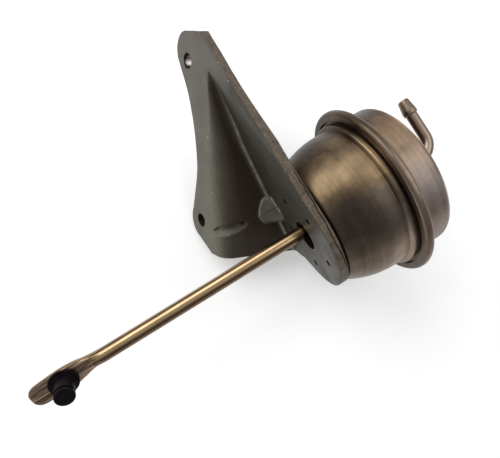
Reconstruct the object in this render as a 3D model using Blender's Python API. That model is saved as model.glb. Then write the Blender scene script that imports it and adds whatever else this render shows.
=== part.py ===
# Wastegate actuator: a pressed steel bracket carries a spring can with a crimped
# cover, and a rod with a flattened, pinned end slides in the can.
#
# The model is laid out along the rod. X runs from the pin towards the hose nipple,
# and x = 0 is the bracket's front face. Y runs along the bracket. The empty
# actuator_axis moves that layout so that the world origin lies on the bolting face.

import math

import bmesh
import bpy
from mathutils import Matrix, Vector, geometry

MM = 0.001

# Fits
GAP = 0.3 * MM                      # clearance between pieces that seat on each other
CLAMP_GAP = 0.2 * MM                # clearance on each side of the clamped rims
ROUND_STEPS = 28                    # facets round the can and the cover
INNER_STEPS = 18                    # facets round the pieces inside them
SMALL_STEPS = 14                    # facets round the small turned pieces

# Bracket, seen along the rod: (y, z) from the rod's axis
PLATE_THICKNESS = 3.8 * MM
LOBE_RADIUS = 26.7 * MM             # round end that carries the can
ROD_HOLE_RADIUS = 6.9 * MM
ROD_HOLE_DROP = 1.8 * MM            # the hole sits this far to -Y of the axis
PIT_COUNT = 5                       # weld pits round the rod hole
PIT_RADIUS = 1.55 * MM
PIT_CIRCLE = 16.85 * MM
PIT_TURN = math.radians(3)
PIT_DEPTH = 2.6 * MM
WELD_HEIGHT = 0.7 * MM              # weld bumps that hold the can off the plate
FOLD_POINT = (77.9 * MM, 8.2 * MM)  # where the wall runs out and the two plates meet
FOLD_SKEW = math.radians(23.1)      # direction of the soft fold between the plates
PLATE_TILT = math.radians(28.1)     # angle between the bolting plate and the can's plate
FOLD_HALF_WIDTH = 4 * MM            # half width of that soft fold
WALL_SKEW = math.radians(28)        # direction of the wall's foot
WALL_ANGLE = math.radians(88)       # wall against the can's plate
WALL_FOOT_LENGTH = 95.5 * MM
WALL_CREST_LENGTH = 80 * MM
CREST_RADIUS = 8.5 * MM             # bend from the bolting plate into the wall
FOOT_RADIUS = 4.6 * MM              # bend from the wall into the can's plate
EDGE_TURN = math.atan(0.2544)       # the long edge turns this much beyond the fold
TIP_Y = 92.0 * MM                   # where the long edge ends, beside the upper ear
LOBE_SWEEP = (math.radians(90), math.radians(227))  # angles of the round end, from +Y to +Z
TAIL_RUN = 9 * MM                   # the edge runs straight this far after the round end
TAIL_END = (-8.1 * MM, -32.5 * MM)  # and meets the wall's lower edge here
BOLT_HOLE_RADIUS = 3.45 * MM        # clears an M6 bolt
PUNCH_REACH = 8 * MM                # the punches pass this far over both faces
UPPER_BOLT = (90.5 * MM, -3.1 * MM)
LOWER_BOLT = (31.1 * MM, -38.0 * MM)
UPPER_EAR_RADIUS = 7.2 * MM
UPPER_EAR_OFFSET = (4.5 * MM, 0.7 * MM)
UPPER_EAR_SWEEP = (math.radians(42), math.radians(-82))
TOP_EDGE_START = (2.3 * MM, 8.2 * MM)  # from the upper ear's centre
LOWER_EAR_RADIUS = 9.1 * MM
LOWER_EAR_SWEEP = (math.radians(-22), math.radians(-122))
TAB_OFFSET = (14.0 * MM, -39.3 * MM)  # lower corner of the bolting plate
WAIST = [(82.4, -11.1), (74.2, -13.5), (66.4, -16.7), (58.9, -20.8), (51.5, -26.2), (45.4, -33.6)]

# Rows of points down the bracket, and columns over plate, crest, wall, foot and plate
TOP_ROWS, WALL_ROWS = 8, 26
ROWS = TOP_ROWS + WALL_ROWS
LOBE_ROW = TOP_ROWS + 9             # the row where the round end starts
EAR_SHARE = 0.33                    # share of the free edge that the top rows take
COLUMNS = (3, 4, 2, 4, 4)
SHORTEST_STEP = (0.8 * MM, 0.35 * MM, 0.3 * MM, 0.35 * MM, 0.8 * MM)
CREST_LIMIT = (0.6, 0.48)           # shares of plate and wall that the crest's bend may take
FOOT_LIMIT = (0.48, 0.7)            # shares of wall and plate that the foot's bend may take

# Darts pressed across the wall's two bends: (distance down the foot, then sizes)
FOOT_DART_ALONG = 69.5 * MM
FOOT_DART_SIZE = (6.8 * MM, 7.6 * MM, 4.4 * MM)
FOOT_DART_LIFT = 2.3 * MM
FOOT_DART_UNDERSIDE = 0.35          # its lower half is this much flatter, inside the sheet
CREST_DART_ALONG = 66.5 * MM
CREST_DART_SIZE = (2.4 * MM, 11.5 * MM, 1.6 * MM)
CREST_DART_TURN = math.radians(14)
CREST_DART_TILT = math.radians(11)  # it follows the wall down
CREST_DART_SHIFT = 2.3 * MM         # towards the wall
CREST_DART_SINK = 2.7 * MM

# Weld bumps between the plate and the can
BUMP_RADIUS = 2.4 * MM
BUMP_TOP_RADIUS = 1.6 * MM
BUMP_ROOT = 0.6 * MM                # how far a bump reaches into the plate

# Spring can, pressed from sheet
CAN_SHEET = 0.8 * MM
CAN_RADIUS = 31.9 * MM
CAN_TAPER = 5.4 * MM                # how much the can narrows towards the bracket
CAN_TAPER_LENGTH = 19.5 * MM
CAN_CORNER_RADIUS = 1.8 * MM
CAN_LENGTH = 29.1 * MM              # from its floor to its flange's back
CAN_HOLE_RADIUS = 4.6 * MM
BEAD_HEIGHT = 1.7 * MM              # bead in front of the flange, over the can's wall
BEAD_WIDTH = 3.2 * MM
BEAD_SETBACK = 1.8 * MM
BEAD_CORNER_RADIUS = 0.7 * MM
RECESS_HEIGHT = 0.8 * MM            # recess behind the bead, over the can's wall
RECESS_STEP = 0.8 * MM              # from the bead's end to the recess
FLANGE_WIDTH = 5.3 * MM

# Cover, crimped round the can's flange
COVER_SHEET = 0.8 * MM
COVER_OVERSIZE = 0.1 * MM           # its wall over the can's wall
COVER_LENGTH = 14.1 * MM            # from its flange to its rear face
COVER_CORNER_RADIUS = 2.8 * MM
COVER_ROOT_RADIUS = 1.0 * MM        # bend from its wall into the crimp
CRIMP_CLEARANCE = 0.35 * MM         # round the can's flange
CRIMP_LIP = 3.4 * MM                # how far the crimp reaches inwards
CRIMP_CORNER_RADIUS = 1.5 * MM

# Diaphragm and the pieces clamped at its middle
RUBBER = 0.7 * MM
RIM_SETBACK = 0.2 * MM              # its rim inside the can's flange
ROLL_CLEARANCE = 1.2 * MM           # outer leg of the rolling fold to the can's wall
ROLL_WIDTH = 4.5 * MM               # outer leg's middle to the piston
ROLL_DEPTH = 6.2 * MM
ROLL_ROOT_RADIUS = 1.1 * MM         # bend from the clamped rim into the fold
PISTON_CORNER_RADIUS = 2.2 * MM
PISTON_SHEET = 1.1 * MM
PISTON_LENGTH = 21.5 * MM
PISTON_SETBACK = 7.0 * MM           # piston crown behind the clamped rim
SPIGOT_RADIUS = 2.3 * MM
HEAD_RADIUS = 4.2 * MM
HEAD_LENGTH = 1.5 * MM
WASHER_SHEET = 0.9 * MM
SHOULDER_WASHER_RADIUS = 8.0 * MM
RETAINER_SETBACK = 3.4 * MM         # inside the piston's radius
RETAINER_SHEET = 1.1 * MM
STOP_GAP = 0.3 * MM                 # retainer's rim to the cover, which stops it
HEAD_WASHER_RADIUS = 6.0 * MM

# Return spring
WIRE_RADIUS = 1.35 * MM
SPRING_CLEARANCE = 0.55 * MM        # between the coil and its seat's rim
SPRING_ROOM = 3.45 * MM             # between the coil and the piston's skirt
SPRING_TURNS = 5.5
SPRING_END_PITCH = 2.95 * MM        # the end turns lie almost flat
SPRING_STEPS = 10                   # steps a turn
WIRE_SIDES = 6
SEAT_SHEET = 1.0 * MM
SEAT_INNER_RADIUS = 12.0 * MM
SEAT_LIP = 3.0 * MM
DISH_RADIUS = 1.2 * MM              # bend into the rim of the seat and the retainer

# Rod guide
BUSH_RADIUS = 5.9 * MM
BUSH_LENGTH = 7.2 * MM
BUSH_CLEARANCE = 0.15 * MM
SEAL_LENGTH = 1.8 * MM
HOUSING_SHEET = 0.9 * MM
HOUSING_FLANGE = 11.0 * MM
HOUSING_MOUTH = 4.2 * MM
HOUSING_CORNER_RADIUS = 0.8 * MM

# Rod, with its end pressed flat round the pin. Each section of the flat is
# (distance from the pin towards the can, half width, half thickness, squareness).
ROD_RADIUS = 3.0 * MM
ROD_REACH = 112.4 * MM              # bracket's front face to the pin
ROD_SECTIONS = [
    (-13.5, 1.9, 0.7, 2.6), (-13.0, 3.1, 1.1, 3.0), (-11.8, 4.1, 1.35, 3.6),
    (-9.9, 4.6, 1.45, 4), (-6.6, 4.8, 1.45, 4), (0.4, 5.1, 1.45, 4), (3.9, 4.85, 1.45, 4),
    (6.4, 4.5, 1.45, 4), (8.6, 4.1, 1.45, 4), (10.4, 3.65, 1.5, 3.6), (12.0, 3.2, 1.8, 2.8),
    (13.6, 3.0, 2.5, 2.2), (15.2, 3.0, 3.0, 2),
]
PADDLE_THICKNESS = 2.9 * MM
PADDLE_TURN = math.radians(122)     # direction of the pin about the rod
PADDLE_LEAN = math.radians(4)       # the flat leans this much to the rod
PADDLE_RISE = 0.25 * MM             # its middle stands this far off the rod's axis
PADDLE_RUN = 3.4 * MM               # the lean comes in over this length

# Pin riveted into the flat: places along it are measured from the rod's axis
PIN_X = -ROD_REACH
PIN_RADIUS = 3.9 * MM
PIN_END = 11.1 * MM
COLLAR_RADIUS = 5.9 * MM
COLLAR_TOP = 2.75 * MM
STEP_RADIUS = 4.8 * MM
STEP_TOP = 3.5 * MM
GROOVE_WIDTH = 1.1 * MM
GROOVE_DEPTH = 0.6 * MM
GROOVE_SETBACK = 1.3 * MM
PIN_CHAMFER = 0.35 * MM
TENON_RADIUS = 2.5 * MM
RIVET_RADIUS = 3.7 * MM
RIVET_THICKNESS = 1.1 * MM

# Hose nipple on the cover's rear face
TUBE_RADIUS = 2.6 * MM
TUBE_BORE = 1.7 * MM
TUBE_RISE = 20.4 * MM               # rear face to the middle of the turned tube
TUBE_BEND = 8.0 * MM
TUBE_REACH = 26.4 * MM              # axis to the nipple's tip
BARB_RADIUS = 3.2 * MM
BARB_START = 19.1 * MM
BARB_CREST = 21.2 * MM
TIP_RADIUS = 2.15 * MM
NIPPLE_COLLAR_RADIUS = 4.4 * MM
NIPPLE_COLLAR_THICKNESS = 1.5 * MM
SWAGE_RADIUS = 3.8 * MM
SWAGE_THICKNESS = 0.8 * MM

# Radii that follow from the sizes above
BEAD_RADIUS = CAN_RADIUS + BEAD_HEIGHT
RECESS_RADIUS = CAN_RADIUS + RECESS_HEIGHT
FLANGE_RADIUS = CAN_RADIUS + FLANGE_WIDTH
COVER_RADIUS = CAN_RADIUS + COVER_OVERSIZE
CRIMP_RADIUS = FLANGE_RADIUS + CRIMP_CLEARANCE + COVER_SHEET
RIM_RADIUS = FLANGE_RADIUS - RIM_SETBACK
ROLL_RADIUS = CAN_RADIUS - CAN_SHEET - ROLL_CLEARANCE
PISTON_RADIUS = ROLL_RADIUS - ROLL_WIDTH
RETAINER_RADIUS = PISTON_RADIUS - RETAINER_SETBACK
SPRING_RADIUS = PISTON_RADIUS - PISTON_SHEET - SPRING_ROOM - WIRE_RADIUS
SEAT_RADIUS = SPRING_RADIUS + WIRE_RADIUS + SPRING_CLEARANCE + SEAT_SHEET

# Places along the rod that follow from the sizes above
CAN_FRONT = PLATE_THICKNESS + WELD_HEIGHT
CAN_FLOOR = CAN_FRONT + CAN_SHEET
CAN_BACK = CAN_FRONT + CAN_LENGTH
CLAMP_X = CAN_BACK + CLAMP_GAP + RUBBER / 2
COVER_FLANGE_FRONT = CLAMP_X + RUBBER / 2 + CLAMP_GAP
COVER_FLANGE_BACK = COVER_FLANGE_FRONT + COVER_SHEET
COVER_REAR = COVER_FLANGE_BACK + COVER_LENGTH
CROWN_BACK = CLAMP_X + PISTON_SETBACK
WASHER_FRONT = CROWN_BACK - PISTON_SHEET - GAP - WASHER_SHEET
SHOULDER_X = WASHER_FRONT - GAP
DISC_MIDDLE = CROWN_BACK + GAP + RUBBER / 2
RETAINER_FRONT = DISC_MIDDLE + RUBBER / 2 + GAP
HEAD_WASHER_FRONT = RETAINER_FRONT + RETAINER_SHEET + GAP
HEAD_FRONT = HEAD_WASHER_FRONT + WASHER_SHEET + GAP
RETAINER_RIM = COVER_REAR - COVER_SHEET - STOP_GAP - RETAINER_FRONT - RETAINER_SHEET / 2
SEAT_FRONT = CAN_FLOOR + GAP
BUSH_FRONT = SEAT_FRONT + SEAL_LENGTH + GAP
BUSH_BACK = BUSH_FRONT + BUSH_LENGTH
SPIGOT_HOLE = SPIGOT_RADIUS + GAP
BORE_RADIUS = ROD_RADIUS + BUSH_CLEARANCE

# The world origin lies on the back of the bolting plate, between its bolt holes
BOLT_MIDDLE = Vector(((UPPER_BOLT[0] + LOWER_BOLT[0]) / 2, (UPPER_BOLT[1] + LOWER_BOLT[1]) / 2))
BOLT_LINE = (Vector(UPPER_BOLT) - Vector(LOWER_BOLT)).normalized()
ORIGIN_INSET = 9 * MM
ORIGIN_FLAT = BOLT_MIDDLE + Vector((-BOLT_LINE.y, BOLT_LINE.x)) * ORIGIN_INSET


def clear_scene():
    for old in list(bpy.data.objects):
        bpy.data.objects.remove(old, do_unlink=True)


def paint(name, colour, roughness, metallic):
    material = bpy.data.materials.new(name)
    material.use_nodes = True
    shader = material.node_tree.nodes["Principled BSDF"]
    shader.inputs["Base Color"].default_value = (*colour, 1.0)
    shader.inputs["Roughness"].default_value = roughness
    shader.inputs["Metallic"].default_value = metallic
    return material


def new_object(name, shape, finish, parent):
    """Makes an object with a material of its own from a bmesh."""
    bmesh.ops.recalc_face_normals(shape, faces=shape.faces)
    mesh = bpy.data.meshes.new(name)
    shape.to_mesh(mesh)
    shape.free()
    mesh.shade_smooth()
    mesh.set_sharp_from_angle(angle=math.radians(35))
    made = bpy.data.objects.new(name, mesh)
    made.data.materials.append(paint(name + "_finish", *finish))
    made.parent = parent
    bpy.context.scene.collection.objects.link(made)
    return made


def cut(target, shape, operation="DIFFERENCE"):
    """Cuts a helper shape from an object, or joins it on."""
    helper = new_object(f"{target.name}_helper_{len(target.modifiers)}", shape, HELPER, target.parent)
    helper.hide_render = True
    helper.display_type = "WIRE"
    modifier = target.modifiers.new(helper.name, "BOOLEAN")
    modifier.operation = operation
    modifier.object = helper
    modifier.solver = "EXACT"


def rounded(corners, steps=2):
    """A polyline of (x, r) through corners (x, r, fillet), with each fillet as an arc."""
    path = []
    for i, (x, r, fillet) in enumerate(corners):
        here = Vector((x, r))
        if not fillet:
            path.append(here)
            continue
        before = (Vector(corners[i - 1][:2]) - here).normalized()
        after = (Vector(corners[i + 1][:2]) - here).normalized()
        half = before.angle(after) / 2
        reach = fillet / math.tan(half)
        centre = here + (before + after).normalized() * fillet / math.sin(half)
        first = here + before * reach - centre
        last = here + after * reach - centre
        sweep = first.angle_signed(last)
        path += [centre + Matrix.Rotation(-sweep * k / steps, 2) @ first for k in range(steps + 1)]
    return path


def band(path, thickness):
    """A closed outline of sheet that follows a middle line of (x, r)."""
    sides = ([], [])
    for i, here in enumerate(path):
        before = (here - path[i - 1]).normalized() if i else None
        after = (path[i + 1] - here).normalized() if i < len(path) - 1 else None
        along = (before or after) + (after or before)
        along.normalize()
        across = Vector((-along.y, along.x))
        spread_out = thickness / 2 / max(0.3, along.dot(after or before))
        sides[0].append(here + across * spread_out)
        sides[1].append(here - across * spread_out)
    return sides[0] + sides[1][::-1]


def turned(outline, steps):
    """Spins a closed outline of (x, r) about the X axis."""
    shape = bmesh.new()
    points = [shape.verts.new((p[0], 0.0, p[1])) for p in outline]
    edges = [shape.edges.new(pair) for pair in zip(points, points[1:] + points[:1])]
    bmesh.ops.spin(
        shape, geom=points + edges, cent=(0, 0, 0), axis=(1, 0, 0),
        angle=2 * math.pi, steps=steps, use_merge=True,
    )
    bmesh.ops.remove_doubles(shape, verts=shape.verts, dist=1e-7)
    return shape


def pressed(corners, thickness, steps):
    """Turned sheet that follows rounded corners of (x, r, fillet)."""
    return turned(band(rounded(corners), thickness), steps)


def ring(front, back, inner, outer, steps):
    """A flat ring between two places along the rod."""
    return turned([(front, inner), (front, outer), (back, outer), (back, inner)], steps)


def lofted(sections, closed=False):
    """Joins rings of points into a solid, with capped ends or run round to its start."""
    shape = bmesh.new()
    rings = [[shape.verts.new(p) for p in section] for section in sections]
    count = len(rings[0])
    for near, far in zip(rings, rings[1:] + rings[:1] if closed else rings[1:]):
        for k in range(count):
            shape.faces.new((near[k], near[(k + 1) % count], far[(k + 1) % count], far[k]))
    if not closed:
        shape.faces.new(rings[0][::-1])
        shape.faces.new(rings[-1])
    return shape


def circle(centre, across, up, radius, sides):
    turns = [2 * math.pi * k / sides for k in range(sides)]
    return [centre + (across * math.cos(a) + up * math.sin(a)) * radius for a in turns]


def solid_round(stations, centre, along, sides):
    """A solid turned about any line, from stations (distance along it, radius)."""
    across = along.orthogonal().normalized()
    up = along.cross(across)
    return lofted([circle(centre + along * d, across, up, r, sides) for d, r in stations])


def join(shapes):
    """Several separate shapes as one."""
    whole = bmesh.new()
    for shape in shapes:
        mesh = bpy.data.meshes.new("piece")
        shape.to_mesh(mesh)
        shape.free()
        whole.from_mesh(mesh)
        bpy.data.meshes.remove(mesh)
    return whole


def ellipsoid(centre, axes, size, underside=1.0):
    """A ball stretched along three directions, with its lower half flattened."""
    shape = bmesh.new()
    bmesh.ops.create_uvsphere(shape, u_segments=16, v_segments=10, radius=1.0)
    for point in shape.verts:
        point.co.z *= underside if point.co.z < 0 else 1.0
    turn = Matrix([axes[k] * size[k] for k in range(3)]).transposed().to_4x4()
    bmesh.ops.transform(shape, matrix=Matrix.Translation(centre) @ turn, verts=shape.verts)
    return shape


# The bracket's front and back are lofted from cross sections. Each section crosses
# the bolting plate, the bend at its crest, the wall, the bend at its foot and the
# can's plate. depth is 0 on the front face and the sheet's thickness on the back.

FOLD = Vector(FOLD_POINT)
FOLD_ALONG = Vector((-math.cos(FOLD_SKEW), math.sin(FOLD_SKEW)))
FOLD_ACROSS = Vector((math.sin(FOLD_SKEW), math.cos(FOLD_SKEW)))
FOOT_ALONG = Vector((-math.cos(WALL_SKEW), -math.sin(WALL_SKEW)))
FOOT_ACROSS = Vector((-math.sin(WALL_SKEW), math.cos(WALL_SKEW)))
BOLT_NORMAL = Vector((-math.cos(PLATE_TILT), *(FOLD_ACROSS * math.sin(PLATE_TILT))))


def bolting_x(flat, depth=0.0):
    """x on the bolting plate over a point (y, z)."""
    across = (flat - FOLD).dot(FOLD_ACROSS)
    return across * math.tan(PLATE_TILT) + depth / math.cos(PLATE_TILT)


def plate_x(flat, depth=0.0):
    """x on the can's plate, which runs into the bolting plate over a soft fold."""
    along = (flat - FOLD).dot(FOLD_ALONG)
    width = max(1e-6, min(FOLD_HALF_WIDTH, 1.1 * along))
    across = (bolting_x(flat, depth) - depth) / math.tan(PLATE_TILT)
    if across <= -width:
        return depth
    if across >= width:
        return depth + across * math.tan(PLATE_TILT)
    return depth + math.tan(PLATE_TILT) * (across + width) ** 2 / (4 * width)


def lean(flat):
    """How far a face moves in (y, z) for each unit of depth, over the right-hand plate."""
    small = 0.2 * MM
    slope = (plate_x(flat + FOLD_ACROSS * small) - plate_x(flat - FOLD_ACROSS * small)) / (2 * small)
    return -FOLD_ACROSS * slope / math.sqrt(1 + slope * slope)


def foot_point(along, depth):
    aside = -depth * math.tan(WALL_ANGLE / 2)
    flat = FOLD + FOOT_ALONG * along + FOOT_ACROSS * aside
    return Vector((depth, *flat))


def crest_point(along, depth):
    """Where the wall meets the bolting plate, for a distance along the wall's foot."""
    aside = -depth * math.tan(WALL_ANGLE / 2)
    start = FOLD + FOOT_ALONG * along + FOOT_ACROSS * aside
    drop = depth - bolting_x(start, depth)
    draft = FOOT_ACROSS / math.tan(WALL_ANGLE)
    height = drop / (1 - draft.dot(FOLD_ACROSS) * math.tan(PLATE_TILT))
    flat = start - draft * height
    return Vector((depth - height, *flat))


def start_along(depth):
    """Where the wall's height reaches nothing, on either face of the sheet."""
    low, high = -WALL_FOOT_LENGTH / 2, WALL_FOOT_LENGTH / 2
    for _ in range(40):
        middle = (low + high) / 2
        if crest_point(middle, depth).x < depth:
            high = middle
        else:
            low = middle
    return high


def arc(centre, radius, first, last, steps):
    """Points round a centre in (y, z), by angle from +Y towards +Z."""
    angles = [first + (last - first) * k / steps for k in range(steps + 1)]
    return [Vector(centre) + Vector((math.cos(a), math.sin(a))) * radius for a in angles]


def spread(points, fractions):
    """Points at given shares of a polyline's length."""
    lengths = [0.0]
    for a, b in zip(points, points[1:]):
        lengths.append(lengths[-1] + (b - a).length)
    found = []
    for share in fractions:
        target = min(max(share, 0.0), 1.0) * lengths[-1]
        k = next((i for i in range(1, len(lengths)) if lengths[i] >= target), len(lengths) - 1)
        part = (target - lengths[k - 1]) / max(lengths[k] - lengths[k - 1], 1e-12)
        found.append(points[k - 1].lerp(points[k], min(part, 1.0)))
    return found


def smooth_through(points, steps=6):
    """A Catmull-Rom curve through the points."""
    ends = [points[0] * 2 - points[1]] + points + [points[-1] * 2 - points[-2]]
    path = []
    for k in range(1, len(ends) - 2):
        a, b, c, d = ends[k - 1:k + 3]
        handle = (b + (c - a) / 6, c - (d - b) / 6)
        knots = [p.to_3d() for p in (b, *handle, c)]
        path += geometry.interpolate_bezier(*knots, steps)[:-1]
    return [p.to_2d() for p in path] + [points[-1]]


def long_edge_z(y):
    """The long straight edge, which turns where the sheet folds."""
    fold_y = FOLD.x - (LOBE_RADIUS - FOLD.y) / math.tan(FOLD_SKEW)
    return LOBE_RADIUS - max(0.0, y - fold_y) * math.tan(EDGE_TURN)


def left_edge():
    """The bolting plate's free edge, from the top edge round both ears."""
    upper = Vector(UPPER_BOLT) + Vector(UPPER_EAR_OFFSET)
    ear = arc(upper, UPPER_EAR_RADIUS, *UPPER_EAR_SWEEP, 6)
    waist = [Vector(p) * MM for p in WAIST]
    lower = arc(LOWER_BOLT, LOWER_EAR_RADIUS, *LOWER_EAR_SWEEP, 5)
    return smooth_through([upper + Vector(TOP_EDGE_START)] + ear + waist + lower + [Vector(TAB_OFFSET)])


def right_edge():
    """The long edge from the tip, then round the lobe and out to the wall's foot."""
    places = [TIP_Y * k / LOBE_ROW for k in range(LOBE_ROW, 0, -1)]
    straight = [Vector((y, long_edge_z(y))) for y in places]
    lobe = arc((0, 0), LOBE_RADIUS, *LOBE_SWEEP, ROWS - LOBE_ROW)
    heading = Vector((-math.sin(LOBE_SWEEP[1]), math.cos(LOBE_SWEEP[1])))
    leave, end = lobe[-1] + heading * TAIL_RUN, Vector(TAIL_END)
    tail = smooth_through([lobe[-1], leave, (leave + end) / 2, end], 3)
    return straight, lobe + tail[1:]


def row_shares(first_share):
    """Shares of a path for each row, with the top rows taking the first stretch."""
    top = [first_share * k / TOP_ROWS for k in range(TOP_ROWS)]
    rest = [first_share + (1 - first_share) * k / WALL_ROWS for k in range(WALL_ROWS + 1)]
    return top + rest


def bend(before, corner, after, radius, limit):
    """A bend's points, and its length, with its radius held inside the faces it joins."""
    back, ahead = (before - corner), (after - corner)
    half = back.angle(ahead, math.pi) / 2
    reach = min(radius / math.tan(half), limit[0] * back.length, limit[1] * ahead.length)
    first, last = corner + back.normalized() * reach, corner + ahead.normalized() * reach
    shares = [k / 12 for k in range(13)]
    return [first * (1 - t) ** 2 + corner * 2 * t * (1 - t) + last * t * t for t in shares]


def path_length(points):
    return sum((b - a).length for a, b in zip(points, points[1:]))


def section(left, crest, foot, right, crest_radius, foot_radius):
    """One cross section, sampled so that no step shrinks to nothing."""
    over = bend(left, crest, foot, crest_radius, CREST_LIMIT)
    under = bend(crest, foot, right, foot_radius, FOOT_LIMIT)
    runs = [[left, over[0]], over, [over[-1], under[0]], under, [under[-1], right]]
    path = [left] + over + under + [right]
    real = [path_length(run) for run in runs]
    total = sum(real)
    wanted = [max(r, n * s) for r, n, s in zip(real, COLUMNS, SHORTEST_STEP)]
    spare = total - sum(wanted[1:4])
    ends = real[0] + real[4] or 1e-9
    wanted[0] = spare * real[0] / ends
    wanted[4] = spare * real[4] / ends
    shares, gone = [0.0], 0.0
    for length, count in zip(wanted, COLUMNS):
        for _ in range(count):
            gone += length / count
            shares.append(gone / total)
    return spread(path, shares)


def sheet_face(depth):
    """Rows of points over the whole front or back face of the bracket."""
    edge = left_edge()
    straight, round_end = right_edge()
    bolting_shift = Vector(BOLT_NORMAL[1:]) * -depth
    lefts = spread(edge, row_shares(EAR_SHARE))
    lobe_rows = ROWS - LOBE_ROW
    rights = straight + spread(round_end, [k / lobe_rows for k in range(lobe_rows + 1)])
    begin = start_along(depth)
    top_middle = (lefts[0] + rights[0]) / 2 + bolting_shift
    vertex = Vector(foot_point(begin, depth)[1:])
    rows = []
    for i in range(ROWS + 1):
        left = lefts[i] + bolting_shift
        right = rights[i] + lean(rights[i]) * depth
        left_point = Vector((bolting_x(left, depth), *left))
        if i < TOP_ROWS:
            middle = top_middle.lerp(vertex, i / TOP_ROWS)
            crest = Vector((0, *middle))
            foot = crest
            flat_row = section(
                Vector((0, *left)), crest, foot, Vector((0, *right)), CREST_RADIUS, FOOT_RADIUS)
            rows.append([Vector((bolting_x(p.yz, depth), *p.yz)) for p in flat_row])
            continue
        share = (i - TOP_ROWS) / WALL_ROWS
        crest = crest_point(begin + (WALL_CREST_LENGTH - begin) * share, depth)
        foot = foot_point(begin + (WALL_FOOT_LENGTH - begin) * share, depth)
        right_point = Vector((depth, *right))
        row = section(
            left_point, crest, foot, right_point, CREST_RADIUS - depth, FOOT_RADIUS + depth)
        split = sum(COLUMNS[:3])
        row = row[:split + 1] + [
            p + Vector((plate_x(p.yz, depth) - depth, 0, 0)) for p in row[split + 1:]]
        rows.append(row)
    return rows


def bracket_sheet():
    shape = bmesh.new()
    front = [[shape.verts.new(p) for p in row] for row in sheet_face(0.0)]
    back = [[shape.verts.new(p) for p in row] for row in sheet_face(PLATE_THICKNESS)]
    last = len(front[0]) - 1
    for face in (front, back):
        for low, high in zip(face, face[1:]):
            for k in range(last):
                shape.faces.new((low[k], low[k + 1], high[k + 1], high[k]))
    rim = [row[0] for row in front] + front[-1][1:]
    rim += [row[last] for row in front[-2::-1]] + front[0][last - 1:0:-1]
    other = [row[0] for row in back] + back[-1][1:]
    other += [row[last] for row in back[-2::-1]] + back[0][last - 1:0:-1]
    for k in range(len(rim)):
        n = (k + 1) % len(rim)
        shape.faces.new((rim[k], rim[n], other[n], other[k]))
    return shape


def crest_dart_place(along):
    """A point on the bend's crest with directions down it, across it and out of it."""
    here, further = crest_point(along, 0.0), crest_point(along + 1 * MM, 0.0)
    down = (further - here).normalized()
    wall_in = (foot_point(along, 0.0) - here).normalized()
    plate_in = (BOLT_NORMAL.cross(down)).normalized()
    if plate_in.dot(wall_in) > 0:
        plate_in = -plate_in
    out = -(wall_in + plate_in).normalized()
    return here, down, out.cross(down).normalized(), out


def foot_dart_place(along):
    here = foot_point(along, 0.0)
    down = Vector((0, *FOOT_ALONG))
    out = (Vector((-1, 0, 0)) + Vector((0, *FOOT_ACROSS))).normalized()
    return here, down, out.cross(down).normalized(), out


def add_bracket_details(bracket):
    """Pierces the holes, sinks the weld pits and adds the darts and weld bumps."""
    reach = PUNCH_REACH
    bolts = [Vector((bolting_x(Vector(p)), *p)) for p in (UPPER_BOLT, LOWER_BOLT)]
    holes = [
        solid_round([(-reach, BOLT_HOLE_RADIUS), (reach, BOLT_HOLE_RADIUS)], p, BOLT_NORMAL, SMALL_STEPS)
        for p in bolts]
    middle = Vector((0, -ROD_HOLE_DROP, 0))
    holes.append(
        solid_round([(-reach, ROD_HOLE_RADIUS), (reach, ROD_HOLE_RADIUS)], middle, Vector((1, 0, 0)), 28))
    bumps = []
    for k in range(PIT_COUNT):
        turn = PIT_TURN + 2 * math.pi * k / PIT_COUNT
        place = middle + Vector((0, math.cos(turn), math.sin(turn))) * PIT_CIRCLE
        pit = [(-reach, PIT_RADIUS), (PIT_DEPTH - 0.5 * MM, PIT_RADIUS), (PIT_DEPTH, PIT_RADIUS / 2)]
        holes.append(solid_round(pit, place, Vector((1, 0, 0)), 12))
        bump_top = CAN_FRONT - GAP
        bump = [
            (PLATE_THICKNESS - BUMP_ROOT, BUMP_RADIUS), (PLATE_THICKNESS, BUMP_RADIUS),
            (bump_top, BUMP_TOP_RADIUS)]
        bumps.append(solid_round(bump, place, Vector((1, 0, 0)), 12))
    here, down, across, out = foot_dart_place(FOOT_DART_ALONG)
    dart = ellipsoid(here + out * FOOT_DART_LIFT, (down, across, out), FOOT_DART_SIZE, FOOT_DART_UNDERSIDE)
    cut(bracket, dart, "UNION")
    cut(bracket, join(bumps), "UNION")
    here, down, across, out = crest_dart_place(CREST_DART_ALONG)
    if across.x < 0:
        across = -across
    place = here + across * CREST_DART_SHIFT - out * CREST_DART_SINK
    follow = (across - out * math.tan(CREST_DART_TILT)).normalized()
    turn = Matrix.Rotation(math.copysign(CREST_DART_TURN, down.cross(across).dot(out)), 3, out)
    groove = (turn @ down, turn @ follow, (turn @ down).cross(turn @ follow))
    holes.append(ellipsoid(place, groove, CREST_DART_SIZE))
    cut(bracket, join(holes))


def spring_can_shape():
    middle = CAN_SHEET / 2
    floor = CAN_FRONT + middle
    wall = CAN_RADIUS - middle
    corners = [(floor, CAN_HOLE_RADIUS, 0), (floor, wall - CAN_TAPER, CAN_CORNER_RADIUS)]
    for k in range(2, 7):
        share = k / 6
        corners.append((floor + CAN_TAPER_LENGTH * share, wall - CAN_TAPER * (1 - share) ** 2, 0))
    back = CAN_BACK - middle
    bead = BEAD_RADIUS - middle
    recess = RECESS_RADIUS - middle
    bead_end = back - BEAD_SETBACK
    corners += [
        (bead_end - BEAD_WIDTH, wall, BEAD_CORNER_RADIUS),
        (bead_end - BEAD_WIDTH * 0.55, bead, BEAD_CORNER_RADIUS), (bead_end, bead, BEAD_CORNER_RADIUS),
        (bead_end + RECESS_STEP, recess, 0), (back, recess, 0), (back, FLANGE_RADIUS, 0),
    ]
    return turned(band(rounded(corners, 1), CAN_SHEET), ROUND_STEPS)


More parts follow.
